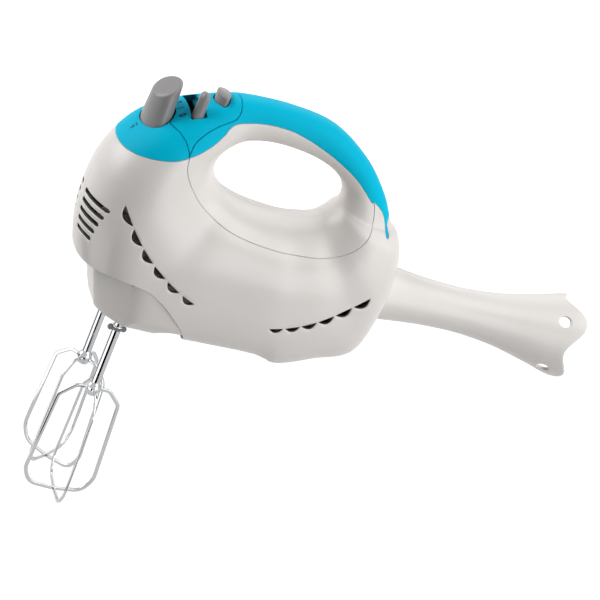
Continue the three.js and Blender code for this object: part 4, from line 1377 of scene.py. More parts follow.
def leaf_outline(centre: Sequence[float], length: float, width: float, grow: float = 0.0) -> np.ndarray:
    """A leaf, its blunted points towards the two sides of the panel.

    Args:
        centre: Its middle.
        length: From point to point, before they are blunted.
        width: Across its middle.
        grow: How much larger it is all round.

    Returns:
        The outline, anticlockwise.
    """
    x, y = centre
    tip, side = length / 2 + 1.5 * grow, width + 2 * grow
    t = np.linspace(0, 1, 25)[:-1, None]
    near, far = np.array([[x, y - tip]]), np.array([[x, y + tip]])
    right, left = np.array([[x + side, y]]), np.array([[x - side, y]])
    one = (1 - t) ** 2 * near + 2 * t * (1 - t) * right + t * t * far
    two = (1 - t) ** 2 * far + 2 * t * (1 - t) * left + t * t * near
    line = np.concatenate([one, two])
    for _ in range(6):
        line = (np.roll(line, 1, 0) + 2 * line + np.roll(line, -1, 0)) / 4
    return line


def level(outline: np.ndarray, height: Any) -> np.ndarray:
    """An outline with one more coordinate, the same for all its points or one for each."""
    return np.column_stack([outline, np.broadcast_to(height, len(outline))])


def column(outline: np.ndarray, low: float, high: float) -> Solid:
    """A plan outline, anticlockwise, made solid between two heights."""
    return stack([level(outline, z) for z in (low, high)])


def turned_solid(profile: Sequence[Sequence[float]], count: int) -> Solid:
    """A profile of radius and place turned round the X axis.

    Args:
        profile: Radius and x of each point. It starts and ends on the axis, or closes on itself.
        count: Sides round the axis.

    Returns:
        The solid.
    """
    turn = np.arange(count) / count * 2 * np.pi
    rows = list(profile)
    solid_ends = rows[0][0] == 0 and rows[-1][0] == 0
    if solid_ends:
        rows = rows[1:-1]
    rings = [np.column_stack([np.full(count, x), r * np.cos(turn), r * np.sin(turn)]) for r, x in rows]
    return facing_out(stack(rings, closed=not solid_ends))


def inward(outline: np.ndarray, inset: float) -> np.ndarray:
    """A plan outline moved inwards.

    Args:
        outline: The outline, anticlockwise.
        inset: How far.

    Returns:
        The new outline.
    """
    along = np.roll(outline, -1, 0) - np.roll(outline, 1, 0)
    side = np.column_stack([-along[:, 1], along[:, 0]])
    return outline + side / np.linalg.norm(side, axis=1)[:, None] * inset


def capped(
    outline: np.ndarray, foot: float, top: Rule, rim: float, skirt: Sequence[np.ndarray] = ()
) -> Solid:
    """A column whose top has a shape of its own and a rounded rim.

    Args:
        outline: Its plan, anticlockwise.
        foot: The height of its flat foot.
        top: Gives the top's height at points of the plan.
        rim: The rim's radius.
        skirt: Rings from the foot up, where the foot is wider than the top.

    Returns:
        The solid.
    """
    middle = outline.mean(0)
    rings = list(skirt) or [level(outline, foot)]
    for turn in np.linspace(0, math.pi / 2, 8):
        line = inward(outline, rim * (1 - math.cos(turn)))
        rings.append(level(line, top(line) - rim * (1 - math.sin(turn))))
    for share in (0.9, 0.75, 0.6, 0.45, 0.3, 0.15, 0.04):
        inner = middle + (line - middle) * share
        rings.append(level(inner, top(inner)))
    return stack(rings)


# ------------------------ gear neck


@dataclass
class GearNeck:
    """The neck that carries the beater sockets, flush with the shells along its upper edge."""

    body: MouldedBody
    shop: Workshop
    facet: tuple[float, float] = (-34.5, 12.5)
    bow: tuple[float, float] = (-30.0, -28.0)
    flank: tuple[float, float] = (-4.0, -42.0)
    lean: float = 0.335
    rear: float = 38.0
    draft_from: float = -17.0
    draft_half: float = 40.3
    draft_slope: float = 0.075
    bend_ease: float = 3.5
    face: float = -50.0
    heel: tuple = ((-60, 0), (12, 0), (17, 0.8), (22, 3), (27, 4.6), (33, 5), (45, 5))
    top: float = -13.0
    corner: float = 1.8
    bush: float = 6.8
    bush_span: tuple[float, float] = (-44.3, -29.0)
    socket: float = 5.35
    notch: tuple = ((30, 45), (-26, 26), (-26, 0))
    lip: float = 0.45
    middle: tuple[float, float] = (8.0, 0.0)

    def plan(self, height: float) -> np.ndarray:
        """The neck's outline, seen from above.

        Args:
            height: The height it is at.

        Returns:
            The outline, anticlockwise.
        """
        x, half = self.facet
        t = np.linspace(0, 1, 40)[:, None]
        start, bend, end = np.array([x, -half]), np.array(self.bow), np.array(self.flank)
        bowed = (1 - t) ** 2 * start + 2 * t * (1 - t) * bend + t * t * end
        front = np.column_stack([np.full(12, x), np.linspace(half, -half, 14)[1:-1]])
        shift = -self.lean * height
        limit = self.draft_half - self.draft_slope * max(0.0, self.draft_from - height)
        reach = np.linspace(bowed[-1, 0] + shift, self.rear, 20)[1:]
        bowed = bowed + [shift, 0]
        slope = (end - bend)[1] / (end - bend)[0]
        side = np.column_stack([reach, end[1] + (reach - bowed[-1, 0]) * slope])
        near = np.concatenate([bowed, side])
        near[:, 1] = -eased_limit(-near[:, 1], limit, self.bend_ease)
        back = np.column_stack([np.full(22, self.rear), np.linspace(-limit, limit, 24)[1:-1]])
        far = near[::-1] * [1, -1]
        return np.concatenate([front + [shift, 0], near, back, far])

    def underside(self, x: np.ndarray) -> np.ndarray:
        """The height of the underside, which steps up behind the sockets."""
        line = smooth_line(self.heel, 10)
        return self.face + np.interp(x, line[:, 0], line[:, 1])

    def form(self) -> Solid:
        """The neck's outer form, its lower edge rounded.

        Returns:
            The solid.
        """
        rings = []
        foot = self.plan(self.face)
        rim = inward(foot, self.corner)
        for share in (0.03, 0.2, 0.4, 0.6, 0.8, 0.93):
            line = self.middle + (rim - self.middle) * share
            rings.append(level(line, self.underside(line[:, 0])))
        for turn in np.linspace(0, math.pi / 2, 7):
            line = inward(foot, self.corner * (1 - math.sin(turn)))
            rise = self.corner * (1 - math.cos(turn))
            rings.append(level(line, self.underside(line[:, 0]) + rise))
        for height in np.linspace(self.face + 8, self.top, 10):
            rings.append(level(self.plan(height), height))
        return stack(rings)

    def build(self) -> None:
        """Joins the neck to the line of the shells, hollows it and bores its sockets."""
        body, line = self.body, smooth_line(self.body.neck_edge)
        edge = line - [0, body.seam]
        below = np.concatenate([edge, [(body.limits[0], body.limits[2])]])
        shown = body.form.skin().minus(*body.seam_tools(edge, half=0.0, radius=self.lip))
        plug = body.form.core(WALL + GAP)
        neck = shown.within(prism(below)).plus(plug).within(self.form())
        room = block((-60, self.rear - WALL), (-60, 60), (self.face + 5 + WALL, 5))
        room = room.within(body.form.skin(2 * WALL + GAP, per=6, girth=64), self.inside())
        posts, bores = [], []
        low, high = self.bush_span
        for side in Side:
            at = (0.0, side.value * SOCKET_SPACING / 2)
            posts.append(column(ellipse(at, (self.bush + WALL,) * 2, 48), self.face + 1, high - 2))
            bores.append(column(ellipse(at, (self.bush + GAP,) * 2, 48), low, 0))
            wide, bore = self.socket + 0.8, self.socket
            mouth = turned_solid([(0, -8), (wide, -8), (wide, -0.1), (bore, 0.7), (bore, 45), (0, 45)], 48)
            bores.append(mouth.turned(Matrix.Translation((*at, self.face)) @ UPRIGHT))
        neck = neck.minus(room).plus(*posts).minus(*bores)
        neck = neck.minus(block(*self.notch))
        whole = max(neck.parts(), key=Solid.size)
        # Faces of the neck inside the shells take the painted shade.
        self.shop.piece("neck_moulding", whole, SHELL_WHITE, "mixer_body", ["gear_neck"], self.painted_shade())

    def painted_shade(self) -> tuple[Finish, Rule]:
        """Painted shade on the unpolished part that stands up inside the shells.

        Returns:
            Its finish, and the test that finds it.
        """
        line = smooth_line(self.body.neck_edge)
        finish, deep = self.body.painted_shade()

        def inside(centres: np.ndarray) -> np.ndarray:
            """Whether each face centre lies above the joint and deep under the outer skin."""
            above = centres[:, 2] > np.interp(centres[:, 0], line[:, 0], line[:, 1])
            return above & deep(centres)

        return finish, inside

    def inside(self) -> Solid:
        """The neck's form again, smaller by its wall."""
        return stack([level(inward(self.plan(z), WALL), z) for z in np.linspace(self.face - 1, 2, 8)])


# ------------------------ controls


@dataclass
class Controls:
    """The eject button, the speed lever and the turbo button."""

    layout: PanelLayout
    shop: Workshop

    def eject_button(self) -> Solid:
        """An oval column, hollow from below, whose top slopes up to the rear.

        Returns:
            The solid.
        """
        c = self.layout
        x, y = c.eject

        def slope(places: np.ndarray) -> np.ndarray:
            """The height of the top."""
            return c.eject_top + c.eject_slope * (places[:, 0] - x)

        base = ellipse(c.eject, c.eject_base, 96)
        skirt = [level(base, z) for z in (c.eject_foot, c.eject_shoulder)]
        button = capped(ellipse(c.eject, c.eject_size, 96), c.eject_foot, slope, c.eject_rim, skirt)
        room = ellipse(c.eject, [v - c.eject_wall for v in c.eject_size], 64)
        ceiling = c.eject_top - c.eject_roof
        hollow = column(room, c.eject_foot - 6, ceiling)
        half, reach = c.eject_rib
        rib = block((x - half, x + half), (y - reach, y + reach), (c.eject_foot, ceiling + 0.5))
        return button.minus(hollow).plus(rib)

    def speed_lever(self) -> Solid:
        """A slim fin with a rounded top, on the carriage that drives the switch.

        Returns:
            The solid.
        """
        c = self.layout
        x, y = c.lever
        half = np.array(c.lever_size) / 2
        turn = np.arange(64) / 64 * 2 * np.pi
        unit = np.column_stack([
            np.sign(np.cos(turn)) * np.abs(np.cos(turn)) ** 0.8,
            np.sign(np.sin(turn)) * np.abs(np.sin(turn)) ** 0.8,
        ])
        cap = half[1]
        straight = c.lever_top - cap
        levels = [(z, 1.0) for z in np.linspace(c.lever_foot, straight, 8)]
        for turn_up in np.radians([15, 30, 45, 58, 70, 80, 87]):
            levels.append((c.lever_top - cap * (1 - math.sin(turn_up)), math.cos(turn_up) ** 0.7))
        rings = []
        for z, share in levels:
            spread = 1 + (c.lever_spread - 1) * max(0.0, (straight - z) / (straight - c.lever_foot))
            rings.append(level((x, y) + unit * (half * share * [spread, 1]), z))
        across, along = c.carriage
        carriage = rounded_box((x - across, x + across), (y - along, y + along), 1.0)
        return stack(rings).plus(column(carriage, c.lever_foot, c.lever_foot + c.carriage_height))

    def turbo_button(self) -> Solid:
        """A leaf with a domed top.

        Returns:
            The solid.
        """
        c = self.layout

        def dome(places: np.ndarray) -> np.ndarray:
            """The height of the top, an arc each way."""
            radii = np.array([c.turbo_crown, c.turbo_camber])
            return c.turbo_top + np.sum(np.sqrt(radii**2 - (places - c.turbo) ** 2) - radii, axis=1)

        outline = leaf_outline(c.turbo, c.turbo_length, c.turbo_width)
        return capped(outline, c.turbo_foot, dome, c.turbo_rim)

    def build(self) -> None:
        """Finishes the three controls, each on its own body."""
        for name, solid, body, node_name in (
            ("eject_moulding", self.eject_button(), "ejector", "eject_button"),
            ("lever_moulding", self.speed_lever(), "lever", "speed_lever"),
            ("turbo_moulding", self.turbo_button(), "turbo", "turbo_button"),
        ):
            self.shop.piece(name, solid, CONTROL_GREY, body, [node_name])


@dataclass
class PanelPrint:
    """The speed numbers beside the lever's slot, and the sign for ejecting on the nose."""

    body: MouldedBody
    shop: Workshop
    size: float = 5.2
    bold: float = 0.2
    numbers: str = "0123"
    column_x: float = -8.0
    first: float = -12.2
    pitch: float = 8.1
    sign: tuple[float, float] = (-31.4, -3.5)
    arrow: tuple = ((-2.0, -0.4), (2.0, -0.4), (0.0, 1.9))
    bar: tuple = ((-2.0, -1.7), (2.0, -1.7), (2.0, -1.0), (-2.0, -1.0))
    thick: float = 0.07
    sunk: float = 0.12

    def lettered(self, text: str) -> Solid:
        """A character as a thin solid round the origin.

        Args:
            text: The character.

        Returns:
            The solid.
        """
        curve = bpy.data.curves.new("mark", "FONT")
        curve.body, curve.size = text, self.size
        curve.extrude, curve.offset = 0.5, self.bold
        curve.align_x, curve.align_y = "CENTER", "CENTER"
        item = placed("mark", curve)
        mesh = evaluated(item)
        bpy.data.objects.remove(item)
        work = bmesh.new()
        work.from_mesh(mesh)
        bmesh.ops.remove_doubles(work, verts=work.verts, dist=0.0005)
        work.to_mesh(mesh)
        work.free()
        return Solid(mesh)

    def laid(self, solid: Solid, at: Sequence[float]) -> Solid:
        """A thin solid laid on the skin, its top edge towards the nose.

        Args:
            solid: The solid, between heights -0.5 and 0.5.
            at: Its place in plan.

        Returns:
            The solid on the skin, sunk a little into it.
        """
        made = []
        for u, v, w in solid.points():
            place, out = self.body.top_surface(np.array([at[0] - v, at[1] + u]))
            made.append(place + out * (self.thick if w > 0 else -self.sunk))
        return facing_out(Solid.of(made, solid.faces()))

    def build(self) -> None:
        """Prints the numbers and the sign."""
        for i, number in enumerate(self.numbers):
            mark = self.laid(self.lettered(number), (self.column_x, self.first + i * self.pitch))
            self.shop.piece(f"speed_number_{number}", mark, INK, "mixer_body", [])
        arrow = column(np.array(self.arrow), -0.5, 0.5)
        bar = column(np.array(self.bar), -0.5, 0.5)
        for name, solid in (("eject_sign_arrow", arrow), ("eject_sign_bar", bar)):
            self.shop.piece(name, self.laid(solid, self.sign), WORN_INK, "mixer_body", [])


# ------------------------ beaters


@dataclass
class Beaters:
    """Two wire beaters: cages of bent strip, crimped in hubs on tubular stems."""

    shop: Workshop
    foot: float = -186.0
    stem: float = 2.8
    stem_top: float = -2.0
    hub: float = 4.6
    hub_half: float = 4.0
    strip: float = 1.3
    width: float = 2.5
    corner: float = 0.45
    crimp: float = 1.9
    phases: tuple[float, float] = (0.0, 45.0)
    drop: float = 0.4
    loops: int = 2
    cage: tuple = (
        (0, 82.6, 0), (10.9, 82.2, 1.8), (20, 73.2, 2.2), (23.3, 14.5, 4.5), (17.6, 4.7, 5), (0, 3.2, 0),
    )
    marker_z: float = -58.4
    marker_ear: float = 1.9
    marker_reach: float = 4.3
    marker_ring: float = 3.6
    marker_half: float = 0.9
    bead: float = 3.4

    def loop_line(self) -> bpy.types.Mesh:
        """The corners of one loop, with the radius of each bend as an attribute.

        Returns:
            The line.
        """
        half = [np.array(p, float) for p in self.cage]
        whole = half + [p * [-1, 1, 1] for p in half[-2::-1]]
        bends = []
        for i, (x, z, leg) in enumerate(whole):
            if not leg:
                bends.append(0.0)
                continue
            one, two = (whole[k][:2] - whole[i][:2] for k in (i - 1, i + 1))
            turn = math.pi - math.acos(np.dot(one, two) / np.linalg.norm(one) / np.linalg.norm(two))
            bends.append(leg / math.tan(turn / 2))
        mesh = bpy.data.meshes.new("loop_line")
        count = len(whole)
        mesh.from_pydata([(x, 0, z) for x, z, _ in whole], [(i, i + 1) for i in range(count - 1)], [])
        mesh.attributes.new("bend", "FLOAT", "POINT").data.foreach_set("value", bends)
        return mesh

    def tree(self) -> bpy.types.NodeTree:
        """Sweeps the strip along a loop, copies it round the axis and adds the crimps.

        Returns:
            The node tree.
        """
        made = bpy.data.node_groups.new("beater_cage", "GeometryNodeTree")
        add = partial(node, made)
        face = made.interface
        face.new_socket("Geometry", in_out="OUTPUT", socket_type="NodeSocketGeometry")
        face.new_socket("Loop", in_out="INPUT", socket_type="NodeSocketGeometry")
        for name, kind in (
            ("Loops", "Int"), ("Turn", "Float"), ("Drop", "Float"), ("Strip width", "Float"),
            ("Strip thickness", "Float"), ("Corner", "Float"), ("Crimp size", "Float"),
            ("Crimp reach", "Float"), ("Crimp height", "Float"), ("Finish", "Material"),
        ):
            face.new_socket(name, in_out="INPUT", socket_type=f"NodeSocket{kind}")
        given = add("NodeGroupInput").outputs
        line = add("GeometryNodeMeshToCurve", {"Mesh": given["Loop"]})
        bend = add("GeometryNodeInputNamedAttribute", {"Name": "bend"}, data_type="FLOAT")
        bent = add(
            "GeometryNodeFilletCurve",
            {"Curve": line.outputs[0], "Count": 8, "Radius": bend.outputs[0], "Limit Radius": True},
            mode="POLY",
        )
        upright = add(
            "GeometryNodeSetCurveNormal", {"Curve": bent.outputs[0], "Normal": (0, 1, 0)}, mode="FREE"
        )
        section = add(
            "GeometryNodeCurvePrimitiveQuadrilateral",
            {"Width": given["Strip thickness"], "Height": given["Strip width"]},
            mode="RECTANGLE",
        )
        section = add(
            "GeometryNodeFilletCurve",
            {"Curve": section.outputs[0], "Count": 3, "Radius": given["Corner"], "Limit Radius": True},
            mode="POLY",
        )
        strip = add(
            "GeometryNodeCurveToMesh",
            {"Curve": upright.outputs[0], "Profile Curve": section.outputs[0], "Fill Caps": True},
        )
        index = add("GeometryNodeInputIndex").outputs[0]
        turned = add("ShaderNodeMath", {0: index, 1: given["Turn"]}, operation="MULTIPLY")
        turning = add("ShaderNodeCombineXYZ", {"Z": turned.outputs[0]})
        sunk = add("ShaderNodeMath", {0: index, 1: given["Drop"]}, operation="MULTIPLY")
        sinking = add("ShaderNodeMath", {0: sunk.outputs[0], 1: -1.0}, operation="MULTIPLY")
        place = add("ShaderNodeCombineXYZ", {"Z": sinking.outputs[0]})
        points = add("GeometryNodePoints", {"Count": given["Loops"], "Position": place.outputs[0]})
        wires = add(
            "GeometryNodeInstanceOnPoints",
            {"Points": points.outputs[0], "Instance": strip.outputs[0], "Rotation": turning.outputs[0]},
        )
        twice = add("ShaderNodeMath", {0: given["Loops"], 1: 2.0}, operation="MULTIPLY")
        seat = add("ShaderNodeCombineXYZ", {"X": given["Crimp reach"], "Z": given["Crimp height"]})
        size = given["Crimp size"]
        lump = add("GeometryNodeMeshUVSphere", {"Segments": 16, "Rings": 10, "Radius": size})
        moved = {"Geometry": lump.outputs[0], "Translation": seat.outputs[0]}
        seated = add("GeometryNodeTransform", moved)
        spots = add("GeometryNodePoints", {"Count": twice.outputs[0]})
        crimps = add(
            "GeometryNodeInstanceOnPoints",
            {"Points": spots.outputs[0], "Instance": seated.outputs[0], "Rotation": turning.outputs[0]},
        )
        both = add("GeometryNodeJoinGeometry")
        made.links.new(wires.outputs[0], both.inputs[0])
        made.links.new(crimps.outputs[0], both.inputs[0])
        real = add("GeometryNodeRealizeInstances", {"Geometry": both.outputs[0]})
        dressed = add("GeometryNodeSetMaterial", {"Geometry": real.outputs[0], "Material": given["Finish"]})
        add("NodeGroupOutput", {"Geometry": dressed.outputs[0]})
        return made

    def cage_solid(self, tree: bpy.types.NodeTree) -> Solid:
        """One cage round the origin's axis.

        Args:
            tree: The node tree that makes it.

        Returns:
            The cage as a plain mesh.
        """
        values = {
            "Loops": self.loops, "Turn": math.pi / self.loops, "Drop": self.drop, "Strip width": self.width,
            "Strip thickness": self.strip, "Corner": self.corner, "Crimp size": self.crimp,
            "Crimp reach": self.hub - 0.8, "Crimp height": self.cage[0][1] - 0.6, "Finish": CHROME.material(),
        }
        item = placed("cage", self.loop_line())
        step = item.modifiers.new("cage", "NODES")
        step.node_group = tree
        for socket in tree.interface.items_tree:
            if socket.in_out == "INPUT" and socket.name in values:
                step[socket.identifier] = values[socket.name]
        mesh = evaluated(item)
        item.modifiers.remove(step)
        bpy.data.objects.remove(item)
        return Solid(mesh)

    def stem_solid(self, beaded: bool) -> Solid:
        """The stem with its crimped hub, along X from the foot up.

        Args:
            beaded: Whether a rolled bead holds a marker in its place.

        Returns:
            The solid.
        """
        hub, stem, top = self.cage[0][1], self.stem, self.stem_top - self.foot
        low, wide = hub - self.hub_half, self.hub
        profile = [
            (0, low - 1.2), (2.2, low - 1.1), (3.4, low - 0.4), (3.9, low + 1.2), (wide - 0.3, hub - 1.8),
            (wide, hub - 0.6), (wide, hub + 1.0), (wide - 0.4, hub + 2.2), (wide - 1.2, hub + 3.2),
            (stem + 0.3, hub + 3.8), (stem, hub + 4.6), (stem, hub + 5.2),
        ]
        if beaded:
            seat = self.marker_z - self.foot + self.marker_half
            profile += [(stem, seat - 0.8), (stem, seat - 0.1), (self.bead - 0.2, seat + 0.05)]
            profile += [(self.bead, seat + 0.4), (self.bead, seat + 0.9), (self.bead - 0.2, seat + 1.25)]
            profile += [(stem, seat + 1.4), (stem, seat + 2.1)]
        profile += [(stem, top - 1.6), (stem, top - 0.8), (stem - 0.5, top), (0, top)]
        return turned_solid(profile, 48)

    def marker(self) -> Solid:
        """The marker ring, with an ear in front and one behind.

        Returns:
            The solid.
        """
        half, wide, soft = self.marker_half, self.marker_ring, 0.25
        inner = self.stem + 0.15
        profile = [
            (inner, -half), (wide - soft, -half), (wide, soft - half), (wide, half - soft),
            (wide - soft, half), (inner, half),
        ]
        ring = turned_solid(profile, 48).turned(UPRIGHT)
        r = self.marker_ear
        ear = turned_solid([(0, -1), (r - 0.35, -1), (r, -0.65), (r, 0.65), (r - 0.35, 1), (0, 1)], 32)
        ear = ear.turned(Matrix.Rotation(math.radians(90), 4, "Z"))
        ears = [ear.turned(Matrix.Translation((end * self.marker_reach, 0, 0))) for end in (-1, 1)]
        bore = turned_solid([(0, -3), (inner, -3), (inner, 3), (0, 3)], 48)
        return ring.plus(*ears).minus(bore.turned(UPRIGHT))

    def build(self) -> None:
        """Makes both beaters and the left one's marker."""
        tree = self.tree()
        cage = self.cage_solid(tree)
        for side, phase in zip(Side, self.phases):
            tail = side.name.lower()
            place = Matrix.Translation((0, side.value * SOCKET_SPACING / 2, self.foot))
            turned = place @ Matrix.Rotation(math.radians(phase), 4, "Z")
            body = f"{tail}_beater"
            self.shop.piece(f"wire_cage_{tail}", cage.turned(turned), CHROME, body, [f"beater_{tail}"])
            stem = self.stem_solid(side is Side.LEFT).turned(turned @ UPRIGHT)
            self.shop.piece(f"beater_stem_{tail}", stem, CHROME, body, [])
        marker = self.marker().turned(Matrix.Translation((0, -SOCKET_SPACING / 2, self.marker_z)))
        self.shop.piece("marker_moulding", marker, CONTROL_GREY, "left_beater", ["left_beater_collar"])


# ------------------------ blending rod and rear fittings


@dataclass
class BlendingRod:
    """The rod's moulding, from its spigot in the outlet to the four lobes round its mouth."""

    form: MouldedForm
    shop: Workshop
    length: float = 150.5
    neck: tuple = ((18.6, 0.3), (18.2, 11), (16.7, 26), (15.5, 44), (15.2, 64))
    bell: tuple = ((16.3, -68.5), (18.4, -51.5), (21.6, -35.5), (25, -20.5), (28.2, -8), (29.6, 0))
    wall: float = 2.2
    spigot: float = 12.3
    spigot_depth: float = 10.0
    bore: float = 6.5
    bulkhead: tuple[float, float] = (-45.5, -35.5)
    lobes: int = 4
    lobe_depth: float = 10.5
    hole: float = 4.0
    hole_place: float = -16.0
    hole_lip: tuple[float, float] = (0.5, 7.0)
    sides: int = 128
    drawn: float = 34.0
    lip_depth: float = 1.1

    def ends(self) -> tuple[float, float]:
        """Where the rod starts and where its mouth is, along X."""
        return self.form.rear_face + GAP, self.form.rear_face + self.length

    def radius(self, x: Any) -> Any:
        """The rod's outer radius.

        Args:
            x: Places along it.

        Returns:
            The radius at each.
        """
        start, mouth = self.form.rear_face, self.ends()[1]
        known = [(start + at, r) for r, at in self.neck] + [(mouth + at, r) for r, at in self.bell]
        line = smooth_line(known, 12)
        return np.interp(x, line[:, 0], line[:, 1])

    def mouth(self, turn: np.ndarray) -> np.ndarray:
        """The place of the mouth's edge in each direction: lobes with round gaps between them."""
        return self.ends()[1] - self.lobe_depth * np.cos(self.lobes * turn / 2) ** 2

    def shell(self) -> Solid:
        """The moulding as one turned skin, its mouth drawn out into the lobes.

        Returns:
            The solid.
        """
        start, mouth = self.ends()
        turn = (np.arange(self.sides) + 0.5) / self.sides * 2 * np.pi
        spokes = np.column_stack([np.cos(turn), np.sin(turn)])

        def ring(x: Any, r: Any) -> np.ndarray:
            """One ring of the skin, its place and radius the same all round or one for each point."""
            return np.column_stack([np.broadcast_to(x, turn.shape), spokes[:, 1] * r, spokes[:, 0] * r])

        edge, base = self.mouth(turn), mouth - self.drawn
        shares = np.linspace(0, 1, 22)
        outside = [ring(x, self.radius(x)) for x in np.linspace(start + 1.2, base, 60)]
        rim = edge - self.lip_depth
        drawn = [base + (rim - base) * share for share in shares[1:]]
        outside += [ring(x, self.radius(x)) for x in drawn]
        low, high = (mouth + v for v in self.bulkhead)
        lip = self.wall / 2
        for a in np.radians(range(15, 180, 15)):
            outside.append(ring(rim + lip * math.sin(a), self.radius(rim) - lip + lip * math.cos(a)))
        inside = [ring(x, self.radius(x) - self.wall) for x in drawn[::-1]]
        inside += [ring(x, self.radius(x) - self.wall) for x in np.linspace(base, high + 0.6, 4)]
        throat, first = float(self.radius(high)) - self.wall, float(self.radius(start + 1.2))
        back, hollow = self.form.rear_face - self.spigot_depth, self.spigot - self.wall
        rows = [
            (high + 0.2, throat - 0.3), (high, throat - 0.9), (high, self.bore + 0.4),
            (high - 0.4, self.bore), (low + 0.4, self.bore), (low, self.bore + 0.4),
            (low, float(self.radius(low)) - self.wall),
        ]
        rows += [(x, self.radius(x) - self.wall) for x in np.linspace(low - 2, start + 3, 16)]
        rows += [
            (start + 3, hollow), (back + 0.4, hollow), (back, hollow + 0.4), (back, self.spigot - 0.8),
            (back + 0.8, self.spigot), (start, self.spigot), (start, first - 1.2),
            (start + 0.35, first - 0.35),
        ]
        inside += [ring(x, r) for x, r in rows]
        return facing_out(stack(outside + inside, closed=True))

    def hole_tools(self) -> list[Solid]:
        """The tools for the round holes, one through the middle of each lobe.

        Returns:
            The tools.
        """
        centre = self.ends()[1] + self.hole_place
        radius = float(self.radius(centre))
        slope = float(self.radius(centre + 1) - self.radius(centre - 1)) / 2
        outline = ellipse((centre, 0.0), (self.hole, self.hole), 40)
        tools = []
        for i in range(self.lobes):
            middle = (i + 0.5) * 2 * math.pi / self.lobes

            def surface(p: np.ndarray, middle: float = middle) -> tuple[np.ndarray, np.ndarray]:
                """The bell's skin.

                Args:
                    p: A place along it and a reach round it.
                    middle: The direction that the reach starts from.

                Returns:
                    The point and the normal.
                """
                turn = middle + p[1] / radius
                out = np.array([-slope, math.sin(turn), math.cos(turn)])
                r = float(self.radius(p[0]))
                return np.array([p[0], r * math.sin(turn), r * math.cos(turn)]), out / np.linalg.norm(out)

            tools.append(flared_tool(outline, surface, *self.hole_lip))
        return tools

    def build(self) -> None:
        """Finishes the rod's moulding."""
        shell = self.shell().minus(*self.hole_tools())
        self.shop.piece("rod_moulding", shell, SHELL_WHITE, "rod", ["rod_shell"])


@dataclass
class RearFittings:
    """The outlet's ring and the cord gland."""

    form: MouldedForm
    shop: Workshop
    ring: float = 15.3
    bore: float = 12.6
    depth: float = 14.0
    gland: tuple[float, float, float] = (141.0, -43.0, 22.0)
    gland_radius: float = 5.5
    gland_bore: float = 3.6
    gland_span: tuple[float, float] = (-9.0, 2.5)

    def build(self) -> None:
        """Turns both and puts them in their places."""
        face, soft = self.form.rear_face, 0.5
        profile = [
            (self.bore, face - self.depth), (self.ring, face - self.depth), (self.ring, face - soft),
            (self.ring - soft, face), (self.bore + soft, face), (self.bore, face - soft),
        ]
        outlet = turned_solid(profile, 96)
        self.shop.piece("outlet_moulding", outlet, SHELL_WHITE, "mixer_body", ["outlet_ring"])
        low, high = self.gland_span
        r, b = self.gland_radius, self.gland_bore
        profile = [
            (b, low), (r, low), (r, high - 0.9), (r - 0.3, high - 0.3), (r - 0.9, high), (b + 0.5, high),
            (b, high - 0.5),
        ]
        x, z, lean = self.gland
        place = Matrix.Translation((x, 0, z)) @ Matrix.Rotation(math.radians(90 - lean), 4, "Y")
        gland = turned_solid(profile, 64).turned(place)
        self.shop.piece("gland_moulding", gland, RUBBER, "mixer_body", ["cord_gland"])


# ------------------------ studio


@dataclass(frozen=True)
class Lamp:
    """A square soft light that faces the object from one direction, in degrees, at a power in watts."""

    name: str
    azimuth: float
    elevation: float
    power: float


@dataclass(frozen=True)
class Card:
    """A curved card beside the tools, from one direction to another, that bright metal reflects."""

    name: str
    start: float
    end: float
    strength: float


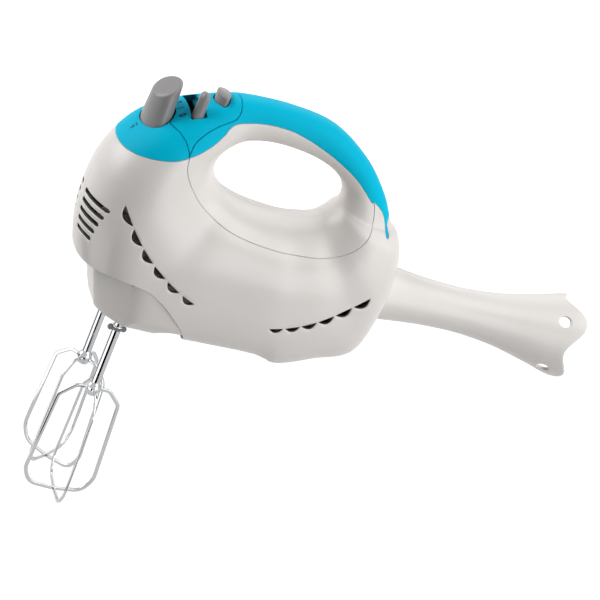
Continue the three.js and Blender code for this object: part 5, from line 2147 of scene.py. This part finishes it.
@dataclass
class Studio:
    """The camera, the floor and the lights."""

    target: tuple[float, float, float] = (0.116629, 0.0, 0.030151)
    distance: float = 1.112
    azimuth: float = -25.56
    elevation: float = 22.93
    roll: float = 23.84
    lens: float = 102.81
    sensor: float = 36.0
    clip: tuple[float, float] = (0.05, 20.0)
    floor: float = -0.26
    floor_size: float = 6.0
    paper: str = "#AAAAAA"
    glow_near: float = 0.7
    fade: tuple[float, float] = (0.5, 1.2)
    ambient: float = 0.08
    middle: tuple[float, float, float] = (0.08, 0.0, 0.02)
    lamp_distance: float = 1.5
    lamp_size: float = 1.2
    lamps: tuple[Lamp, ...] = (
        Lamp("key", -25, 45, 10), Lamp("top", -60, 65, 4), Lamp("front", -60, 5, 11.5),
        Lamp("left", 155, 28, 18), Lamp("back", 70, 40, 4),
    )
    card_reach: float = 0.3
    card_height: float = 0.17
    cards: tuple[Card, ...] = (
        Card("black_front", -133, -81, 0.0), Card("white_left", -190, -133, 2.5),
        Card("black_left", -222, -190, 0.0), Card("black_back", 30, 62, 0.0),
    )

    def camera(self) -> None:
        """Places the camera."""
        a, e, r = (math.radians(v) for v in (self.azimuth, self.elevation, self.roll))
        ahead = Vector((-math.sin(a) * math.cos(e), math.cos(a) * math.cos(e), -math.sin(e)))
        right = Vector((math.cos(a), math.sin(a), 0))
        up = right.cross(ahead)
        across = right * math.cos(r) + up * math.sin(r)
        upright = -right * math.sin(r) + up * math.cos(r)
        data = bpy.data.cameras.new("camera")
        data.lens, data.sensor_width = self.lens, self.sensor
        data.clip_start, data.clip_end = self.clip
        made = placed("camera", data)
        place = Matrix((across, upright, -ahead)).transposed().to_4x4()
        place.translation = Vector(self.target) - ahead * self.distance
        made.matrix_world = place
        bpy.context.scene.camera = made

    def lamp(self, lamp: Lamp) -> None:
        """Hangs one lamp.

        Args:
            lamp: Where it hangs and how strong it is.
        """
        a, e = math.radians(lamp.azimuth), math.radians(lamp.elevation)
        away = Vector((math.cos(a) * math.cos(e), math.sin(a) * math.cos(e), math.sin(e)))
        data = bpy.data.lights.new(lamp.name, "AREA")
        data.energy, data.size = lamp.power, self.lamp_size
        made = placed(lamp.name, data)
        made.location = Vector(self.middle) + away * self.lamp_distance
        made.rotation_euler = (-away).to_track_quat("-Z", "Y").to_euler()

    def card(self, card: Card) -> None:
        """Stands one curved card on the floor, where only reflections meet it.

        Args:
            card: Its place round the beaters and its brightness.
        """
        low, high = self.floor + 0.001, self.floor + self.card_height
        points = []
        for a in np.radians(np.linspace(card.start, card.end, 13)):
            x, y = self.card_reach * math.cos(a), self.card_reach * math.sin(a)
            points += [(x, y, low), (x, y, high)]
        mesh = bpy.data.meshes.new(card.name)
        mesh.from_pydata(points, [], [(i, i + 2, i + 3, i + 1) for i in range(0, len(points) - 2, 2)])
        board = bpy.data.materials.new(card.name)
        tree = cleared(board)
        glow = node(tree, "ShaderNodeEmission", {"Color": (1, 1, 1, 1), "Strength": card.strength})
        node(tree, "ShaderNodeOutputMaterial", {"Surface": glow.outputs[0]})
        mesh.materials.append(board)
        made = placed(card.name, mesh)
        made.visible_camera = made.visible_diffuse = made.visible_shadow = made.visible_transmission = False

    def rays(self, tree: bpy.types.NodeTree) -> bpy.types.NodeSocket:
        """Tells the rays that see the background from those that light the object.

        Args:
            tree: The node tree to add to.

        Returns:
            One for rays from the camera or off a reflection or through glass, else nought.
        """
        path = node(tree, "ShaderNodeLightPath").outputs
        seen = path["Is Camera Ray"]
        for kind in ("Is Glossy Ray", "Is Transmission Ray"):
            seen = node(tree, "ShaderNodeMath", {0: seen, 1: path[kind]}, operation="MAXIMUM").outputs[0]
        return seen

    def world(self) -> None:
        """Plain light from all round, white where the camera or a reflection looks past the object."""
        world = bpy.data.worlds.new("studio")
        bpy.context.scene.world = world
        tree = cleared(world)
        strength = node(
            tree, "ShaderNodeMapRange", {"Value": self.rays(tree), "To Min": self.ambient, "To Max": 1.0}
        )
        shade = node(tree, "ShaderNodeBackground", {"Color": (1, 1, 1, 1), "Strength": strength.outputs[0]})
        node(tree, "ShaderNodeOutputWorld", {"Surface": shade.outputs[0]})

    def ground(self) -> None:
        """Lays the pale floor, which looks white and keeps a soft shadow."""
        s = self.floor_size / 2
        plane = bpy.data.meshes.new("floor")
        corners = [(x * s, y * s, self.floor) for x, y in ((-1, -1), (1, -1), (1, 1), (-1, 1))]
        plane.from_pydata(corners, [], [(0, 1, 2, 3)])
        paper = bpy.data.materials.new("pale_paper")
        tree = cleared(paper)
        add = partial(node, tree)
        matt = add("ShaderNodeBsdfDiffuse", {"Color": linear(self.paper)})
        place = add("ShaderNodeTexCoord").outputs["Object"]
        away = add("ShaderNodeVectorMath", {0: place}, operation="LENGTH").outputs["Value"]
        near, far = self.fade
        strength = add(
            "ShaderNodeMapRange",
            {"Value": away, "From Min": near, "From Max": far, "To Min": self.glow_near, "To Max": 1.0},
        )
        glow = add("ShaderNodeEmission", {"Color": (1, 1, 1, 1), "Strength": strength.outputs[0]})
        white = add("ShaderNodeAddShader", {0: matt.outputs[0], 1: glow.outputs[0]})
        mix = add("ShaderNodeMixShader", {0: self.rays(tree), 1: matt.outputs[0], 2: white.outputs[0]})
        add("ShaderNodeOutputMaterial", {"Surface": mix.outputs[0]})
        plane.materials.append(paper)
        made = placed("floor", plane)

    def build(self) -> None:
        """Sets up the whole studio."""
        self.camera()
        self.world()
        self.ground()
        for lamp in self.lamps:
            self.lamp(lamp)
        for card in self.cards:
            self.card(card)


def dress_frame_nodes() -> None:
    """Gives every node of the frame the finish of its material slot."""
    slots = {p["node"]: p["material_slot"] for p in frame["record"]["subparts"]}
    finishes = {**BY_SLOT, "shell_white": SHELL_WHITE, "cover_blue": COVER_BLUE}
    finishes |= {"control_grey": CONTROL_GREY, "beater_chrome": CHROME}
    for name, item in frame["nodes"].items():
        material = finishes[slots[name]].material()
        if item.material_slots:
            for place in item.material_slots:
                place.material = material
        else:
            item.data.materials.append(material)


def main() -> None:
    """Builds every piece and the studio."""
    logging.basicConfig(level=logging.INFO, format="%(message)s")
    bpy.context.scene.view_settings.view_transform = "Standard"
    dress_frame_nodes()
    studio = Studio()
    studio.build()
    form = MouldedForm()
    skin = Skin(form)
    shop = Workshop()
    body = MouldedBody(form, skin, shop)
    body.build()
    GearNeck(body, shop).build()
    Controls(body.layout, shop).build()
    PanelPrint(body, shop).build()
    Beaters(shop).build()
    BlendingRod(form, shop).build()
    RearFittings(form, shop).build()
    log.info("%d pieces", shop.count)


if __name__ == "__main__":
    main()
